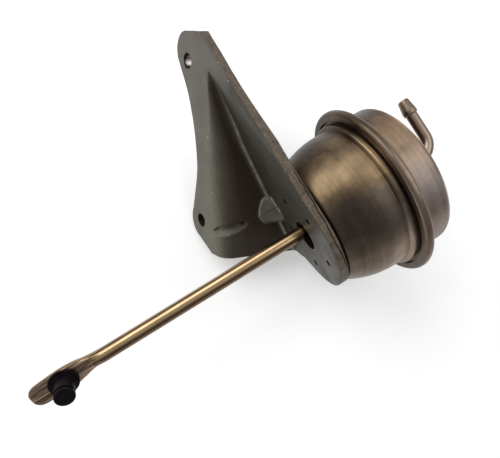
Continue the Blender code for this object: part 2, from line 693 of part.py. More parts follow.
def cover_shape():
    middle = COVER_SHEET / 2
    lip = CAN_BACK - CAN_SHEET - CLAMP_GAP - middle
    corner = CRIMP_CORNER_RADIUS - middle
    flange = COVER_FLANGE_FRONT + middle
    crimp = CRIMP_RADIUS - middle
    wall = COVER_RADIUS - middle
    rear = COVER_REAR - middle
    return pressed(
        [
            (lip, CRIMP_RADIUS - CRIMP_LIP, 0), (lip, crimp, corner), (flange, crimp, corner),
            (flange, wall, COVER_ROOT_RADIUS), (rear, wall, COVER_CORNER_RADIUS - middle),
            (rear, TUBE_RADIUS + GAP, 0),
        ],
        COVER_SHEET, ROUND_STEPS)


def diaphragm_shape():
    inner_leg = PISTON_RADIUS + GAP + RUBBER / 2
    fold = (ROLL_RADIUS - inner_leg) / 2 - 0.01 * MM
    bottom = CLAMP_X - ROLL_DEPTH
    over_piston = PISTON_CORNER_RADIUS + GAP + RUBBER / 2
    return pressed(
        [
            (CLAMP_X, RIM_RADIUS, 0), (CLAMP_X, ROLL_RADIUS, ROLL_ROOT_RADIUS), (bottom, ROLL_RADIUS, fold),
            (bottom, inner_leg, fold), (DISC_MIDDLE, inner_leg, over_piston), (DISC_MIDDLE, SPIGOT_HOLE, 0),
        ],
        RUBBER, INNER_STEPS)


def piston_shape():
    crown = CROWN_BACK - PISTON_SHEET / 2
    wall = PISTON_RADIUS - PISTON_SHEET / 2
    corner = PISTON_CORNER_RADIUS - PISTON_SHEET / 2
    skirt = CROWN_BACK - PISTON_LENGTH
    return pressed(
        [(crown, SPIGOT_HOLE, 0), (crown, wall, corner), (skirt, wall, 0)], PISTON_SHEET, INNER_STEPS)


def dished(front, sheet, inner, outer, lip):
    """A washer of sheet whose rim turns towards +X."""
    middle = front + sheet / 2
    rim = outer - sheet / 2
    return pressed(
        [(middle, inner, 0), (middle, rim, DISH_RADIUS), (middle + lip, rim, 0)], sheet, INNER_STEPS)


def bush_housing_shape():
    middle = HOUSING_SHEET / 2
    flange = SEAT_FRONT + middle
    tube = BUSH_RADIUS + GAP + middle
    mouth = BUSH_BACK + GAP + middle
    return pressed(
        [
            (flange, HOUSING_FLANGE, 0), (flange, tube, HOUSING_CORNER_RADIUS),
            (mouth, tube, HOUSING_CORNER_RADIUS), (mouth, HOUSING_MOUTH, 0),
        ],
        HOUSING_SHEET, SMALL_STEPS)


def spring_shape():
    """A coil from the seat to the piston, with an almost flat turn at each end."""
    first = SEAT_FRONT + SEAT_SHEET + GAP + WIRE_RADIUS
    last = CROWN_BACK - PISTON_SHEET - GAP - WIRE_RADIUS
    pitch = (last - first - 2 * SPRING_END_PITCH) / (SPRING_TURNS - 2)
    sections = []
    for k in range(int(SPRING_TURNS * SPRING_STEPS) + 1):
        turns = k / SPRING_STEPS
        rise = SPRING_END_PITCH * min(turns, 1.0)
        rise += pitch * min(max(turns - 1.0, 0.0), SPRING_TURNS - 2)
        rise += SPRING_END_PITCH * max(turns - (SPRING_TURNS - 1), 0.0)
        angle = 2 * math.pi * turns
        out = Vector((0, math.cos(angle), math.sin(angle)))
        centre = Vector((first + rise, 0, 0)) + out * SPRING_RADIUS
        sections.append(circle(centre, out, Vector((1, 0, 0)), WIRE_RADIUS, WIRE_SIDES))
    return lofted(sections)


PIN_OUT = Vector((0, math.cos(PADDLE_TURN), math.sin(PADDLE_TURN)))
PIN_AXIS = Vector((math.sin(PADDLE_LEAN), *(PIN_OUT.yz * math.cos(PADDLE_LEAN))))
PIN_PLACE = Vector((PIN_X, 0, 0)) + PIN_OUT * PADDLE_RISE


def rod_shape():
    wide = Vector((0, -PIN_OUT.z, PIN_OUT.y))
    sections = []
    for along, width, thickness, square in ROD_SECTIONS:
        share = min(1.0, (ROD_SECTIONS[-1][0] - along) * MM / PADDLE_RUN)
        rise = (PADDLE_RISE - along * MM * math.tan(PADDLE_LEAN)) * share
        centre = Vector((PIN_X + along * MM, 0, 0)) + PIN_OUT * rise
        ring_points = []
        for k in range(SMALL_STEPS):
            a = 2 * math.pi * k / SMALL_STEPS
            c, s = math.cos(a), math.sin(a)
            w = width * math.copysign(abs(c) ** (2 / square), c)
            t = thickness * math.copysign(abs(s) ** (2 / square), s)
            ring_points.append(centre + (wide * w + PIN_OUT * t) * MM)
        sections.append(ring_points)
    inner_end = [
        (SHOULDER_X, ROD_RADIUS), (SHOULDER_X, SPIGOT_RADIUS), (HEAD_FRONT, SPIGOT_RADIUS),
        (HEAD_FRONT, HEAD_RADIUS), (HEAD_FRONT + HEAD_LENGTH * 0.6, HEAD_RADIUS * 0.86),
        (HEAD_FRONT + HEAD_LENGTH, HEAD_RADIUS * 0.45),
    ]
    for x, radius in inner_end:
        sections.append(circle(Vector((x, 0, 0)), wide, PIN_OUT, radius, SMALL_STEPS))
    return lofted(sections)


def pin_shape():
    face = PADDLE_THICKNESS / 2 + GAP
    land = PIN_END - GROOVE_SETBACK
    return solid_round(
        [
            (-face - RIVET_THICKNESS, RIVET_RADIUS * 0.6),
            (-face - RIVET_THICKNESS * 0.45, RIVET_RADIUS * 0.92), (-face, RIVET_RADIUS),
            (-face, TENON_RADIUS), (face, TENON_RADIUS), (face, COLLAR_RADIUS),
            (COLLAR_TOP - PIN_CHAMFER, COLLAR_RADIUS), (COLLAR_TOP, COLLAR_RADIUS - PIN_CHAMFER),
            (COLLAR_TOP, STEP_RADIUS), (STEP_TOP, STEP_RADIUS - PIN_CHAMFER), (STEP_TOP, PIN_RADIUS),
            (land - GROOVE_WIDTH, PIN_RADIUS), (land - GROOVE_WIDTH, PIN_RADIUS - GROOVE_DEPTH),
            (land, PIN_RADIUS - GROOVE_DEPTH), (land, PIN_RADIUS), (PIN_END - PIN_CHAMFER, PIN_RADIUS),
            (PIN_END, PIN_RADIUS - PIN_CHAMFER),
        ],
        PIN_PLACE, PIN_AXIS, 20)


def nipple_shape():
    """The nipple's outside from its swaged end to its tip, then its bore back again."""
    swage = COVER_REAR - COVER_SHEET - GAP
    collar = COVER_REAR + GAP
    bend_x = COVER_REAR + TUBE_RISE - TUBE_BEND
    ahead, up = Vector((1, 0, 0)), Vector((0, 0, 1))
    outside = [
        (Vector((swage - SWAGE_THICKNESS, 0, 0)), 0, SWAGE_RADIUS),
        (Vector((swage, 0, 0)), 0, SWAGE_RADIUS),
        (Vector((swage, 0, 0)), 0, TUBE_RADIUS), (Vector((collar, 0, 0)), 0, TUBE_RADIUS),
        (Vector((collar, 0, 0)), 0, NIPPLE_COLLAR_RADIUS),
        (Vector((collar + NIPPLE_COLLAR_THICKNESS * 0.7, 0, 0)), 0, NIPPLE_COLLAR_RADIUS),
        (Vector((collar + NIPPLE_COLLAR_THICKNESS, 0, 0)), 0, NIPPLE_COLLAR_RADIUS - 0.5 * MM),
        (Vector((collar + NIPPLE_COLLAR_THICKNESS, 0, 0)), 0, TUBE_RADIUS),
    ]
    centre = Vector((bend_x, TUBE_BEND, 0))
    for k in range(9):
        turn = math.radians(90) * k / 8
        place = centre + Vector((math.sin(turn), -math.cos(turn), 0)) * TUBE_BEND
        outside.append((place, turn, TUBE_RADIUS))
    for y, radius in (
        (BARB_START, TUBE_RADIUS), (BARB_START + 0.3 * MM, BARB_RADIUS), (BARB_CREST, BARB_RADIUS),
        (TUBE_REACH - 0.8 * MM, TIP_RADIUS + 0.3 * MM), (TUBE_REACH, TIP_RADIUS),
    ):
        outside.append((Vector((bend_x + TUBE_BEND, y, 0)), math.radians(90), radius))
    bore = [(place, turn, TUBE_BORE) for place, turn, _ in outside[::-1]]
    kept = [bore[0]] + [b for a, b in zip(bore, bore[1:]) if (a[0] - b[0]).length > 0.4 * MM]
    if (kept[-1][0] - outside[0][0]).length > 0:
        kept.append(bore[-1])
    sections = []
    for place, turn, radius in outside + kept:
        side = Vector((-math.sin(turn), math.cos(turn), 0))
        sections.append(circle(place, side, up, radius, 12))
    return lofted(sections, closed=True)


HELPER = ((0.8, 0.2, 0.2), 0.5, 0.0)
PLATED = ((0.42, 0.33, 0.23), 0.35, 0.9)
STEEL = ((0.55, 0.53, 0.5), 0.4, 0.9)

clear_scene()
axis = bpy.data.objects.new("actuator_axis", None)
axis.location = (-bolting_x(ORIGIN_FLAT, PLATE_THICKNESS), -ORIGIN_FLAT.x, -ORIGIN_FLAT.y)
bpy.context.scene.collection.objects.link(axis)
moving = bpy.data.objects.new("rod_axis", None)
moving.parent = axis
bpy.context.scene.collection.objects.link(moving)

bracket = new_object("bracket", bracket_sheet(), ((0.17, 0.16, 0.135), 0.5, 0.85), axis)
add_bracket_details(bracket)
new_object("spring_can", spring_can_shape(), PLATED, axis)
new_object("cover_can", cover_shape(), ((0.45, 0.38, 0.32), 0.38, 0.9), axis)
new_object("hose_nipple", nipple_shape(), ((0.45, 0.38, 0.3), 0.38, 0.9), axis)
new_object(
    "guide_bush", ring(BUSH_FRONT, BUSH_BACK, BORE_RADIUS, BUSH_RADIUS, SMALL_STEPS),
    ((0.55, 0.38, 0.15), 0.45, 0.9), axis)
new_object(
    "wiper_seal", ring(SEAT_FRONT, SEAT_FRONT + SEAL_LENGTH, BORE_RADIUS, BUSH_RADIUS, SMALL_STEPS),
    ((0.03, 0.03, 0.03), 0.7, 0.0), axis)
new_object("bush_housing", bush_housing_shape(), STEEL, axis)
new_object(
    "spring_seat", dished(SEAT_FRONT, SEAT_SHEET, SEAT_INNER_RADIUS, SEAT_RADIUS, SEAT_LIP), STEEL, axis)
new_object("return_spring", spring_shape(), ((0.3, 0.3, 0.3), 0.4, 0.9), axis)
new_object("diaphragm", diaphragm_shape(), ((0.03, 0.03, 0.03), 0.7, 0.0), axis)

rod = new_object("actuator_rod", rod_shape(), ((0.55, 0.46, 0.33), 0.28, 0.95), moving)
cut(rod, solid_round(
    [(-PADDLE_THICKNESS, TENON_RADIUS + GAP), (PADDLE_THICKNESS, TENON_RADIUS + GAP)],
    PIN_PLACE, PIN_AXIS, SMALL_STEPS))
new_object("pivot_pin", pin_shape(), ((0.02, 0.018, 0.022), 0.4, 0.3), moving)
new_object("piston", piston_shape(), STEEL, moving)
new_object(
    "shoulder_washer",
    ring(WASHER_FRONT, WASHER_FRONT + WASHER_SHEET, SPIGOT_HOLE, SHOULDER_WASHER_RADIUS, SMALL_STEPS),
    STEEL, moving)
new_object(
    "diaphragm_retainer",
    dished(RETAINER_FRONT, RETAINER_SHEET, SPIGOT_HOLE, RETAINER_RADIUS, RETAINER_RIM), STEEL, moving)
new_object(
    "head_washer",
    ring(HEAD_WASHER_FRONT, HEAD_WASHER_FRONT + WASHER_SHEET, SPIGOT_HOLE, HEAD_WASHER_RADIUS, SMALL_STEPS),
    STEEL, moving)
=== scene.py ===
import math

import bpy
from mathutils import Matrix, Vector, noise


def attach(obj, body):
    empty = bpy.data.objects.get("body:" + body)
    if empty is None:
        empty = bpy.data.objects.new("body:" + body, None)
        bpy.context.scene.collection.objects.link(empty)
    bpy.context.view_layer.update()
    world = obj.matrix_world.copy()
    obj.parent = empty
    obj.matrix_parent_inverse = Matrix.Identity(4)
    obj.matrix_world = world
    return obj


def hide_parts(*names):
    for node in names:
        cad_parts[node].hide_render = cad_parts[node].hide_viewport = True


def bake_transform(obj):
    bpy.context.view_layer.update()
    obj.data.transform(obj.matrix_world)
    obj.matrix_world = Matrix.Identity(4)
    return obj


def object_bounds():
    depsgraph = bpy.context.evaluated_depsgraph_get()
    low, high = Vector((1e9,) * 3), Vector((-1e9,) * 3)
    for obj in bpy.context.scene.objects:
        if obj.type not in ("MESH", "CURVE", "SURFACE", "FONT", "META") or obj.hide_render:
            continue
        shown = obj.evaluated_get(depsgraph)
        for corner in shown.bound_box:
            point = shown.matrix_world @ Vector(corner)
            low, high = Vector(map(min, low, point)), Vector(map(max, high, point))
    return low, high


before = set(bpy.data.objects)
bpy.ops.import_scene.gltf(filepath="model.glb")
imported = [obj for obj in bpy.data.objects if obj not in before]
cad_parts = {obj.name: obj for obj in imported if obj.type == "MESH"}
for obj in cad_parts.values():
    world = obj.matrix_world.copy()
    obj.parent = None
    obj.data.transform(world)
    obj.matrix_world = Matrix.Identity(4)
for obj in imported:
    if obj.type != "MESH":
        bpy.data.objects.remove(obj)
cadBox = [list(corner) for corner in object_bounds()]
print("frame loaded")

mm = 0.001
rodAxis = Vector((10.539, -56.241, 12.790)) * mm  # where the rod's axis crosses the bracket's front plane


def deselectAll():
    if bpy.context.mode != "OBJECT":
        bpy.ops.object.mode_set(mode="OBJECT")
    bpy.ops.object.select_all(action="DESELECT")


def makeActive(piece):
    deselectAll()
    piece.select_set(True)
    bpy.context.view_layer.objects.active = piece


def finishPiece(piece, body, angle):
    # places, shades and rides one finished piece
    makeActive(piece)
    bpy.ops.object.transform_apply(location=True, rotation=True, scale=True)
    bpy.ops.object.shade_smooth_by_angle(angle=math.radians(angle))
    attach(piece, body)


def startMaterial(name, metallic, roughness, specular=0.5):
    material = bpy.data.materials.new(name)
    material.use_nodes = True
    shader = material.node_tree.nodes["Principled BSDF"]
    shader.inputs["Metallic"].default_value = metallic
    shader.inputs["Roughness"].default_value = roughness
    shader.inputs["Specular IOR Level"].default_value = specular
    return material, material.node_tree, shader


def addNode(tree, kind, **values):
    node = tree.nodes.new(kind)
    for key, value in values.items():
        if key in node.inputs.keys():
            node.inputs[key].default_value = value
        else:
            setattr(node, key, value)
    return node


def feed(tree, socket, value):
    # links another node's output, or sets a plain number, colour or vector
    if isinstance(value, bpy.types.NodeSocket):
        tree.links.new(value, socket)
    else:
        socket.default_value = (*value, 1) if isinstance(value, tuple) else value


def objectPoint(tree, centre=(0, 0, 0), scale=(1, 1, 1)):
    # object coordinates, centred and stretched for one pattern
    coords = tree.nodes.new("ShaderNodeTexCoord")
    mapping = tree.nodes.new("ShaderNodeMapping")
    mapping.vector_type = "TEXTURE"
    mapping.inputs["Location"].default_value = centre
    mapping.inputs["Scale"].default_value = [1 / s for s in scale]
    tree.links.new(coords.outputs["Object"], mapping.inputs["Vector"])
    return mapping.outputs["Vector"]


def splitAxes(tree, point):
    split = tree.nodes.new("ShaderNodeSeparateXYZ")
    tree.links.new(point, split.inputs["Vector"])
    return split.outputs


def noiseValue(tree, point, scale, detail=4, roughness=0.55, distortion=0.0):
    node = addNode(
        tree, "ShaderNodeTexNoise", Scale=scale, Detail=detail, Roughness=roughness, Distortion=distortion)
    tree.links.new(point, node.inputs["Vector"])
    return node.outputs["Fac"]


def ramp(tree, value, stops):
    # stops are (position, colour or grey)
    node = tree.nodes.new("ShaderNodeValToRGB")
    elements = node.color_ramp.elements
    while len(elements) < len(stops):
        elements.new(0.5)
    for element, (position, colour) in zip(elements, stops):
        element.position = position
        element.color = (*colour, 1) if isinstance(colour, tuple) else (colour, colour, colour, 1)
    tree.links.new(value, node.inputs["Fac"])
    return node.outputs["Color"]


def mixColour(tree, share, low, high, blend="MIX"):
    node = tree.nodes.new("ShaderNodeMix")
    node.data_type = "RGBA"
    node.blend_type = blend
    for name, value in (("Factor", share), ("A", low), ("B", high)):
        feed(tree, [s for s in node.inputs if s.name == name and s.enabled][0], value)
    return [s for s in node.outputs if s.enabled][0]


def darken(tree, share, base, shade):
    return mixColour(tree, share, base, shade, "MULTIPLY")


def mathValue(tree, operation, first, second=0.0, clamp=False):
    node = tree.nodes.new("ShaderNodeMath")
    node.operation = operation
    node.use_clamp = clamp
    feed(tree, node.inputs[0], first)
    feed(tree, node.inputs[1], second)
    return node.outputs["Value"]


def times(tree, first, second):
    return mathValue(tree, "MULTIPLY", first, second)


def vectorMath(tree, operation, first, second=None):
    node = addNode(tree, "ShaderNodeVectorMath", operation=operation)
    feed(tree, node.inputs[0], first)
    if second is not None:
        feed(tree, node.inputs[1], second)
    return node.outputs["Vector" if operation in ("SUBTRACT", "MULTIPLY") else "Value"]


def wander(tree, point, scale, amount, roughness=0.55):
    # a slow noise that goes as far below nothing as above it
    return times(tree, mathValue(tree, "SUBTRACT", noiseValue(tree, point, scale, 4, roughness), 0.5), amount)


def spots(tree, point, scale, size, patchScale, patchRise):
    # small round spots that gather in patches
    cells = addNode(tree, "ShaderNodeTexVoronoi", Scale=scale, Randomness=1.0)
    tree.links.new(point, cells.inputs["Vector"])
    spot = ramp(tree, cells.outputs["Distance"], [(size[0], 1.0), (size[1], 0.0)])
    patch = ramp(tree, noiseValue(tree, point, patchScale, 2), [(patchRise[0], 0.0), (patchRise[1], 1.0)])
    return times(tree, spot, patch)


def bumpFrom(tree, shader, heights):
    # heights are (value, strength, distance); each bump is laid over the one before
    normal = None
    for value, strength, distance in heights:
        node = addNode(tree, "ShaderNodeBump", Strength=strength, Distance=distance)
        tree.links.new(value, node.inputs["Height"])
        if normal:
            tree.links.new(normal, node.inputs["Normal"])
        normal = node.outputs["Normal"]
    tree.links.new(normal, shader.inputs["Normal"])


bracketLook = {
    "grey": (0.158, 0.153, 0.112),  # grey-green of the bolting plate
    "pink": (0.150, 0.132, 0.115),  # warmer towards the upper ear
    "dark": (0.118, 0.110, 0.080),
    "shade": (0.051, 0.045, 0.031),  # painted shade: the can's plate is darker, as it lies away from the light
    "valley": (0.038, 0.0225, 0.0125),  # brown of the wall's face, made darker as painted shade
    # pale colour of painted highlights and of worn specks
    "highlightAndWear": (0.40, 0.385, 0.33),
    "metallic": 0.45,
    "roughness": 0.46,
    "grain": 900,
    "specks": 260,
    # small chips and marks on the front, from the rod's axis in mm: place, radius
    "chips": (((3.5, 78.8, 15.2), 0.34), ((3.2, 75.3, 15.9), 0.26), ((3.1, 73.9, 16.5), 0.24),
              ((3.1, 70.1, 18.1), 0.2), ((2.2, 65.9, 17.9), 0.22), ((-12.2, 57.9, -8.2), 0.22),
              ((-22.6, 37.3, -20.3), 0.25), ((-30.4, 18.4, -30.5), 0.3), ((-29.6, 16.6, -27.4), 0.22),
              ((0.2, 22.5, 26.0), 0.2), ((0.2, 10.4, 25.6), 0.24)),
    # painted shade in creases on the pad in the wall's foot: two ends, half width
    "creases": (((-4.6, 16.3, -20.4), (-1.3, 15.9, -17.8), 0.22),
                ((-0.6, 15.9, -17.2), (-0.1, 15.9, -16.8), 0.26),
                ((-6.8, 16.1, -22.6), (-5.4, 15.9, -21.3), 0.14)),
    "bareChip": (0.75, 0.74, 0.70),
    "creaseShade": (0.02, 0.018, 0.015),
    "pinkRise": (-30 * mm, 40 * mm),  # heights between which the grey turns pink
    "cloud": (38, 0.55),  # scale and share of the darker clouds
}


def markSpot(tree, place, radius):
    # 1 within the radius of one place, given from the rod's axis in mm
    gap = vectorMath(tree, "DISTANCE", objectPoint(tree), rodAxis + Vector(place) * mm)
    return mathValue(tree, "LESS_THAN", gap, radius * mm)


def markLine(tree, first, last, halfWidth):
    # 1 within the half width of a straight mark between two places
    start, run = rodAxis + Vector(first) * mm, (Vector(last) - Vector(first)) * mm
    offset = vectorMath(tree, "SUBTRACT", objectPoint(tree), start)
    share = vectorMath(tree, "DOT_PRODUCT", offset, run / run.length_squared)
    share = mathValue(tree, "ADD", share, 0.0, clamp=True)
    gap = vectorMath(tree, "DISTANCE", offset, vectorMath(tree, "MULTIPLY", share, run))
    return mathValue(tree, "LESS_THAN", gap, halfWidth * mm)


def anyOf(tree, marks):
    found = marks[0]
    for mark in marks[1:]:
        found = mathValue(tree, "MAXIMUM", found, mark)
    return found


def meshAmount(tree, name):
    # what the mesh carries at its points
    return addNode(tree, "ShaderNodeAttribute", attribute_name=name).outputs["Fac"]


def makeBracketSteel():
    look = bracketLook
    material, tree, shader = startMaterial("bracketSteel", look["metallic"], look["roughness"])
    point = objectPoint(tree)
    up = tree.nodes.new("ShaderNodeMapRange")
    up.inputs["From Min"].default_value, up.inputs["From Max"].default_value = look["pinkRise"]
    tree.links.new(splitAxes(tree, point)["Y"], up.inputs["Value"])
    base = mixColour(tree, up.outputs["Result"], look["grey"], look["pink"])
    cloudScale, cloudShare = look["cloud"]
    cloud = ramp(tree, noiseValue(tree, point, cloudScale, 5, 0.6), [(0.35, 0.0), (0.72, 1.0)])
    base = mixColour(tree, times(tree, cloud, cloudShare), base, look["dark"])
    # the mesh carries painted shade, where the sheet is darker or browner, and painted highlights
    drift = wander(tree, point, 70, 0.5)
    for name, colour in (("plateShade", look["shade"]), ("brownWallShade", look["valley"])):
        amount = meshAmount(tree, name)
        loose = times(tree, times(tree, drift, amount), mathValue(tree, "SUBTRACT", 1.0, amount))
        share = mathValue(tree, "ADD", amount, times(tree, loose, 3.0), clamp=True)
        base = mixColour(tree, share, base, colour)
    # painted highlights on the foot's fillet, the crest, the pad's rim and round the groove, broken up by a
    # patchy pattern
    highlightShare = ramp(tree, noiseValue(tree, point, 480, 3, 0.6), [(0.40, 0.35), (0.60, 1.0)])
    base = mixColour(tree, times(tree, meshAmount(tree, "highlightLine"), highlightShare), base, look["highlightAndWear"])
    fine = noiseValue(tree, point, look["grain"], 3, 0.7)
    base = darken(tree, 0.35, base, ramp(tree, fine, [(0.3, 0.45), (0.7, 1.0)]))
    specks = spots(tree, point, look["specks"], (0.03, 0.10), 55, (0.56, 0.66))
    base = mixColour(tree, times(tree, specks, 0.6), base, look["highlightAndWear"])
    chips = [markSpot(tree, place, radius) for place, radius in look["chips"]]
    base = mixColour(tree, anyOf(tree, chips), base, look["bareChip"])
    creases = [markLine(tree, *crease) for crease in look["creases"]]
    base = mixColour(tree, anyOf(tree, creases), base, look["creaseShade"])
    tree.links.new(base, shader.inputs["Base Color"])
    rough = ramp(tree, noiseValue(tree, point, 90, 4), [(0.3, 0.38), (0.7, 0.56)])
    tree.links.new(rough, shader.inputs["Roughness"])
    bumpFrom(tree, shader, [(noiseValue(tree, point, 120, 3), 0.25, 0.0004), (fine, 0.25, 0.00012)])
    return material


edgeLook = {
    "colours": ((0.28, (0.075, 0.054, 0.037)), (0.5, (0.145, 0.112, 0.080)), (0.74, (0.21, 0.17, 0.13))),
    "torn": (0.010, 0.007, 0.005),
    "blotch": 420,
    "fleck": 1300,
}


def makeShearedEdge():
    # the cut edge: brown, mottled, with torn grain across the sheet
    material, tree, shader = startMaterial("shearedEdge", 0.35, 0.6)
    point = objectPoint(tree)
    blotch = noiseValue(tree, point, edgeLook["blotch"], 6, 0.7)
    fleck = ramp(tree, noiseValue(tree, point, edgeLook["fleck"], 3, 0.7), [(0.36, 0.35), (0.50, 1.0)])
    base = darken(tree, 0.6, ramp(tree, blotch, edgeLook["colours"]), fleck)
    torn = mathValue(tree, "MULTIPLY", meshAmount(tree, "tornLine"), 0.95, clamp=True)
    base = mixColour(tree, torn, base, edgeLook["torn"])
    tree.links.new(base, shader.inputs["Base Color"])
    bumpFrom(tree, shader, [(blotch, 0.8, 0.0006), (noiseValue(tree, point, 1800, 2), 0.3, 0.0001)])
    return material


def roundTint(tree, point, stops, drift=0.16):
    # a colour that changes with the angle round the rod's axis, in degrees from Y towards Z
    axes = splitAxes(tree, point)
    share = times(tree, mathValue(tree, "ARCTAN2", axes["Z"], axes["Y"]), 0.5 / math.pi)
    share = mathValue(tree, "ADD", share, wander(tree, point, 45, drift))
    return ramp(tree, mathValue(tree, "ADD", share, 0.5), [(0.5 + a / 360, colour) for a, colour in stops])


# drawn and plated sheet; around gives (degrees, tint) round the rod's axis: brown above, golden towards
# the light, grey below, painted in place of a studio's reflections; along gives (mm from the bracket's
# front, brightness), painted for the same reason
platedLooks = {
    "canSteel": {
        "colours": ((0.13, 0.100, 0.074), (0.255, 0.203, 0.146), (0.33, 0.274, 0.198)),
        "roughness": 0.40, "rings": 500, "stain": 0.55,
        "around": (
            (0, (0.18, 0.15, 0.12)), (30, (0.20, 0.15, 0.12)), (40, (0.35, 0.29, 0.25)), (50, (1.0, 0.88, 0.76)),
            (60, (1.55, 1.38, 1.14)), (70, (1.60, 1.42, 1.18)), (80, (0.85, 0.75, 0.62)),
            (92, (0.44, 0.43, 0.46)), (110, (0.50, 0.49, 0.60)), (125, (0.80, 0.80, 0.84)),
            (138, (1.15, 1.1, 1.12)), (150, (0.95, 0.88, 0.86)), (178, (0.80, 0.74, 0.72))),
        "along": ((4, 0.72), (12, 0.68), (19, 0.74), (25, 1.15), (32, 1.25)),
    },
    "coverSteel": {
        "colours": ((0.19, 0.152, 0.126), (0.30, 0.247, 0.208), (0.36, 0.305, 0.262)),
        "roughness": 0.38, "rings": 600, "stain": 0.3,
        "around": (
            (0, (0.26, 0.20, 0.16)), (30, (0.24, 0.19, 0.15)), (40, (0.42, 0.33, 0.27)), (50, (1.1, 0.90, 0.72)),
            (60, (1.9, 1.62, 1.28)), (70, (1.75, 1.52, 1.24)), (80, (1.05, 0.94, 0.82)), (90, (1.0, 0.98, 0.98)),
            (110, (1.3, 1.34, 1.45)), (122, (1.05, 1.04, 1.1)), (135, (0.75, 0.70, 0.66)),
            (150, (0.58, 0.51, 0.46)), (178, (0.40, 0.35, 0.31))),
    },
    "lipSteel": {
        "colours": ((0.095, 0.073, 0.056), (0.17, 0.136, 0.108), (0.23, 0.188, 0.152)),
        "roughness": 0.36, "rings": 600, "stain": 0.5,
        "around": (
            (0, (0.5, 0.42, 0.35)), (40, (0.65, 0.54, 0.46)), (62, (1.5, 1.38, 1.26)), (95, (1.6, 1.55, 1.55)),
            (125, (1.2, 1.12, 1.08)), (150, (0.62, 0.53, 0.47)), (178, (0.5, 0.42, 0.36))),
    },
    # the channel between the bead and the lip, darker as painted shade
    "channelSteel": {
        "colours": ((0.06, 0.046, 0.036), (0.105, 0.083, 0.065), (0.14, 0.114, 0.09)),
        "roughness": 0.42, "rings": 600, "stain": 0.5,
    },
    "tubeSteel": {
        "colours": ((0.18, 0.135, 0.10), (0.28, 0.215, 0.162), (0.34, 0.27, 0.21)),
        "roughness": 0.34, "rings": 900, "stain": 0.25,
    },
}
platedPits = {"colour": (0.06, 0.045, 0.035), "share": 0.8, "scale": 330}
alongReach = 50  # mm, more than any plated piece is long


def makePlatedSteel(name):
    # fine rings round the can's axis, cloudy stains and small dark pits, and the painted reflections that a look
    # lists
    look = platedLooks[name]
    roughness = look["roughness"]
    material, tree, shader = startMaterial(name, 1.0, roughness)
    point = objectPoint(tree, rodAxis)
    rings = noiseValue(tree, objectPoint(tree, rodAxis, (1.0, 0.03, 0.03)), look["rings"], 3, 0.6)
    cloud = noiseValue(tree, point, 26, 5, 0.62, 0.6)
    base = ramp(tree, cloud, list(zip((0.28, 0.5, 0.74), look["colours"])))
    if "around" in look:
        base = darken(tree, 1.0, base, roundTint(tree, point, look["around"]))
    if "along" in look:
        share = mathValue(tree, "DIVIDE", splitAxes(tree, point)["X"], alongReach * mm)
        base = darken(tree, 1.0, base, ramp(tree, share, [(x / alongReach, value) for x, value in look["along"]]))
    mottled = ramp(tree, noiseValue(tree, point, 160, 5, 0.7), [(0.36, 0.72), (0.6, 1.0)])
    base = darken(tree, look["stain"], base, mottled)
    base = darken(tree, 0.5, base, ramp(tree, rings, [(0.32, 0.55), (0.62, 1.0)]))
    pits = spots(tree, point, platedPits["scale"], (0.05, 0.12), 45, (0.57, 0.66))
    base = mixColour(tree, times(tree, pits, platedPits["share"]), base, platedPits["colour"])
    tree.links.new(base, shader.inputs["Base Color"])
    rough = ramp(tree, cloud, [(0.3, roughness + 0.1), (0.7, roughness - 0.05)])
    tree.links.new(rough, shader.inputs["Roughness"])
    bumpFrom(tree, shader, [(rings, 0.10, 0.0002), (noiseValue(tree, point, 700, 3), 0.08, 0.0001)])
    return material


rodLook = {
    "colours": ((0.3, (0.38, 0.29, 0.19)), (0.7, (0.47, 0.37, 0.25))),
    "gloss": ((0.3, 0.21), (0.7, 0.15)),
    # bands along the rod, painted in place of a studio's reflections: angle from Y towards Z, tint
    "bands": (
        (10, (1.0, 0.97, 0.92)), (36, (0.5, 0.45, 0.40)), (47, (0.19, 0.16, 0.14)), (58, (0.52, 0.43, 0.36)),
        (70, (1.12, 1.03, 0.87)), (84, (1.15, 1.06, 0.86)), (98, (1.55, 1.42, 1.22)), (107, (0.75, 0.64, 0.55)),
        (115, (0.27, 0.21, 0.19)), (124, (0.34, 0.27, 0.24)), (134, (0.46, 0.38, 0.34)),
        (150, (0.30, 0.26, 0.22)), (178, (0.30, 0.26, 0.22))),
    # the pressed end: brushed lines along the rod, brown in the lines
    "brushed": ((0.38, (0.05, 0.03, 0.018)), (0.50, (0.26, 0.172, 0.115)), (0.62, (0.66, 0.49, 0.36))),
    "brushScale": 1700,
}


def makePolishedRod():
    material, tree, shader = startMaterial("polishedRod", 1.0, 0.18)
    point = objectPoint(tree, rodAxis)
    rings = noiseValue(tree, objectPoint(tree, rodAxis, (1.0, 0.04, 0.04)), 900, 2)
    cloud = noiseValue(tree, point, 60, 4)
    bands = roundTint(tree, point, rodLook["bands"], 0.01)
    base = darken(tree, 1.0, ramp(tree, cloud, rodLook["colours"]), bands)
    tree.links.new(base, shader.inputs["Base Color"])
    tree.links.new(ramp(tree, cloud, rodLook["gloss"]), shader.inputs["Roughness"])
    bumpFrom(tree, shader, [(rings, 0.05, 0.0001)])
    return material


def makeBrushedFlat():
    material, tree, shader = startMaterial("brushedFlat", 0.9, 0.42)
    lines = noiseValue(tree, objectPoint(tree, rodAxis, (0.03, 1.0, 0.1)), rodLook["brushScale"], 4, 0.7)
    cloud = ramp(tree, noiseValue(tree, objectPoint(tree, rodAxis), 140, 4), [(0.3, 0.6), (0.7, 1.0)])
    base = darken(tree, 0.4, ramp(tree, lines, rodLook["brushed"]), cloud)
    tree.links.new(base, shader.inputs["Base Color"])
    bumpFrom(tree, shader, [(lines, 0.35, 0.0002)])
    return material


boreLook = {
    "brightPlace": (-1.3, 91.7, -6.9),  # from the rod's axis in mm
    "fade": 320,  # how fast the bright spot ends
    "colours": ((0.45, (0.80, 0.74, 0.74)), (0.62, (0.50, 0.43, 0.42)), (0.85, (0.03, 0.024, 0.022))),
}


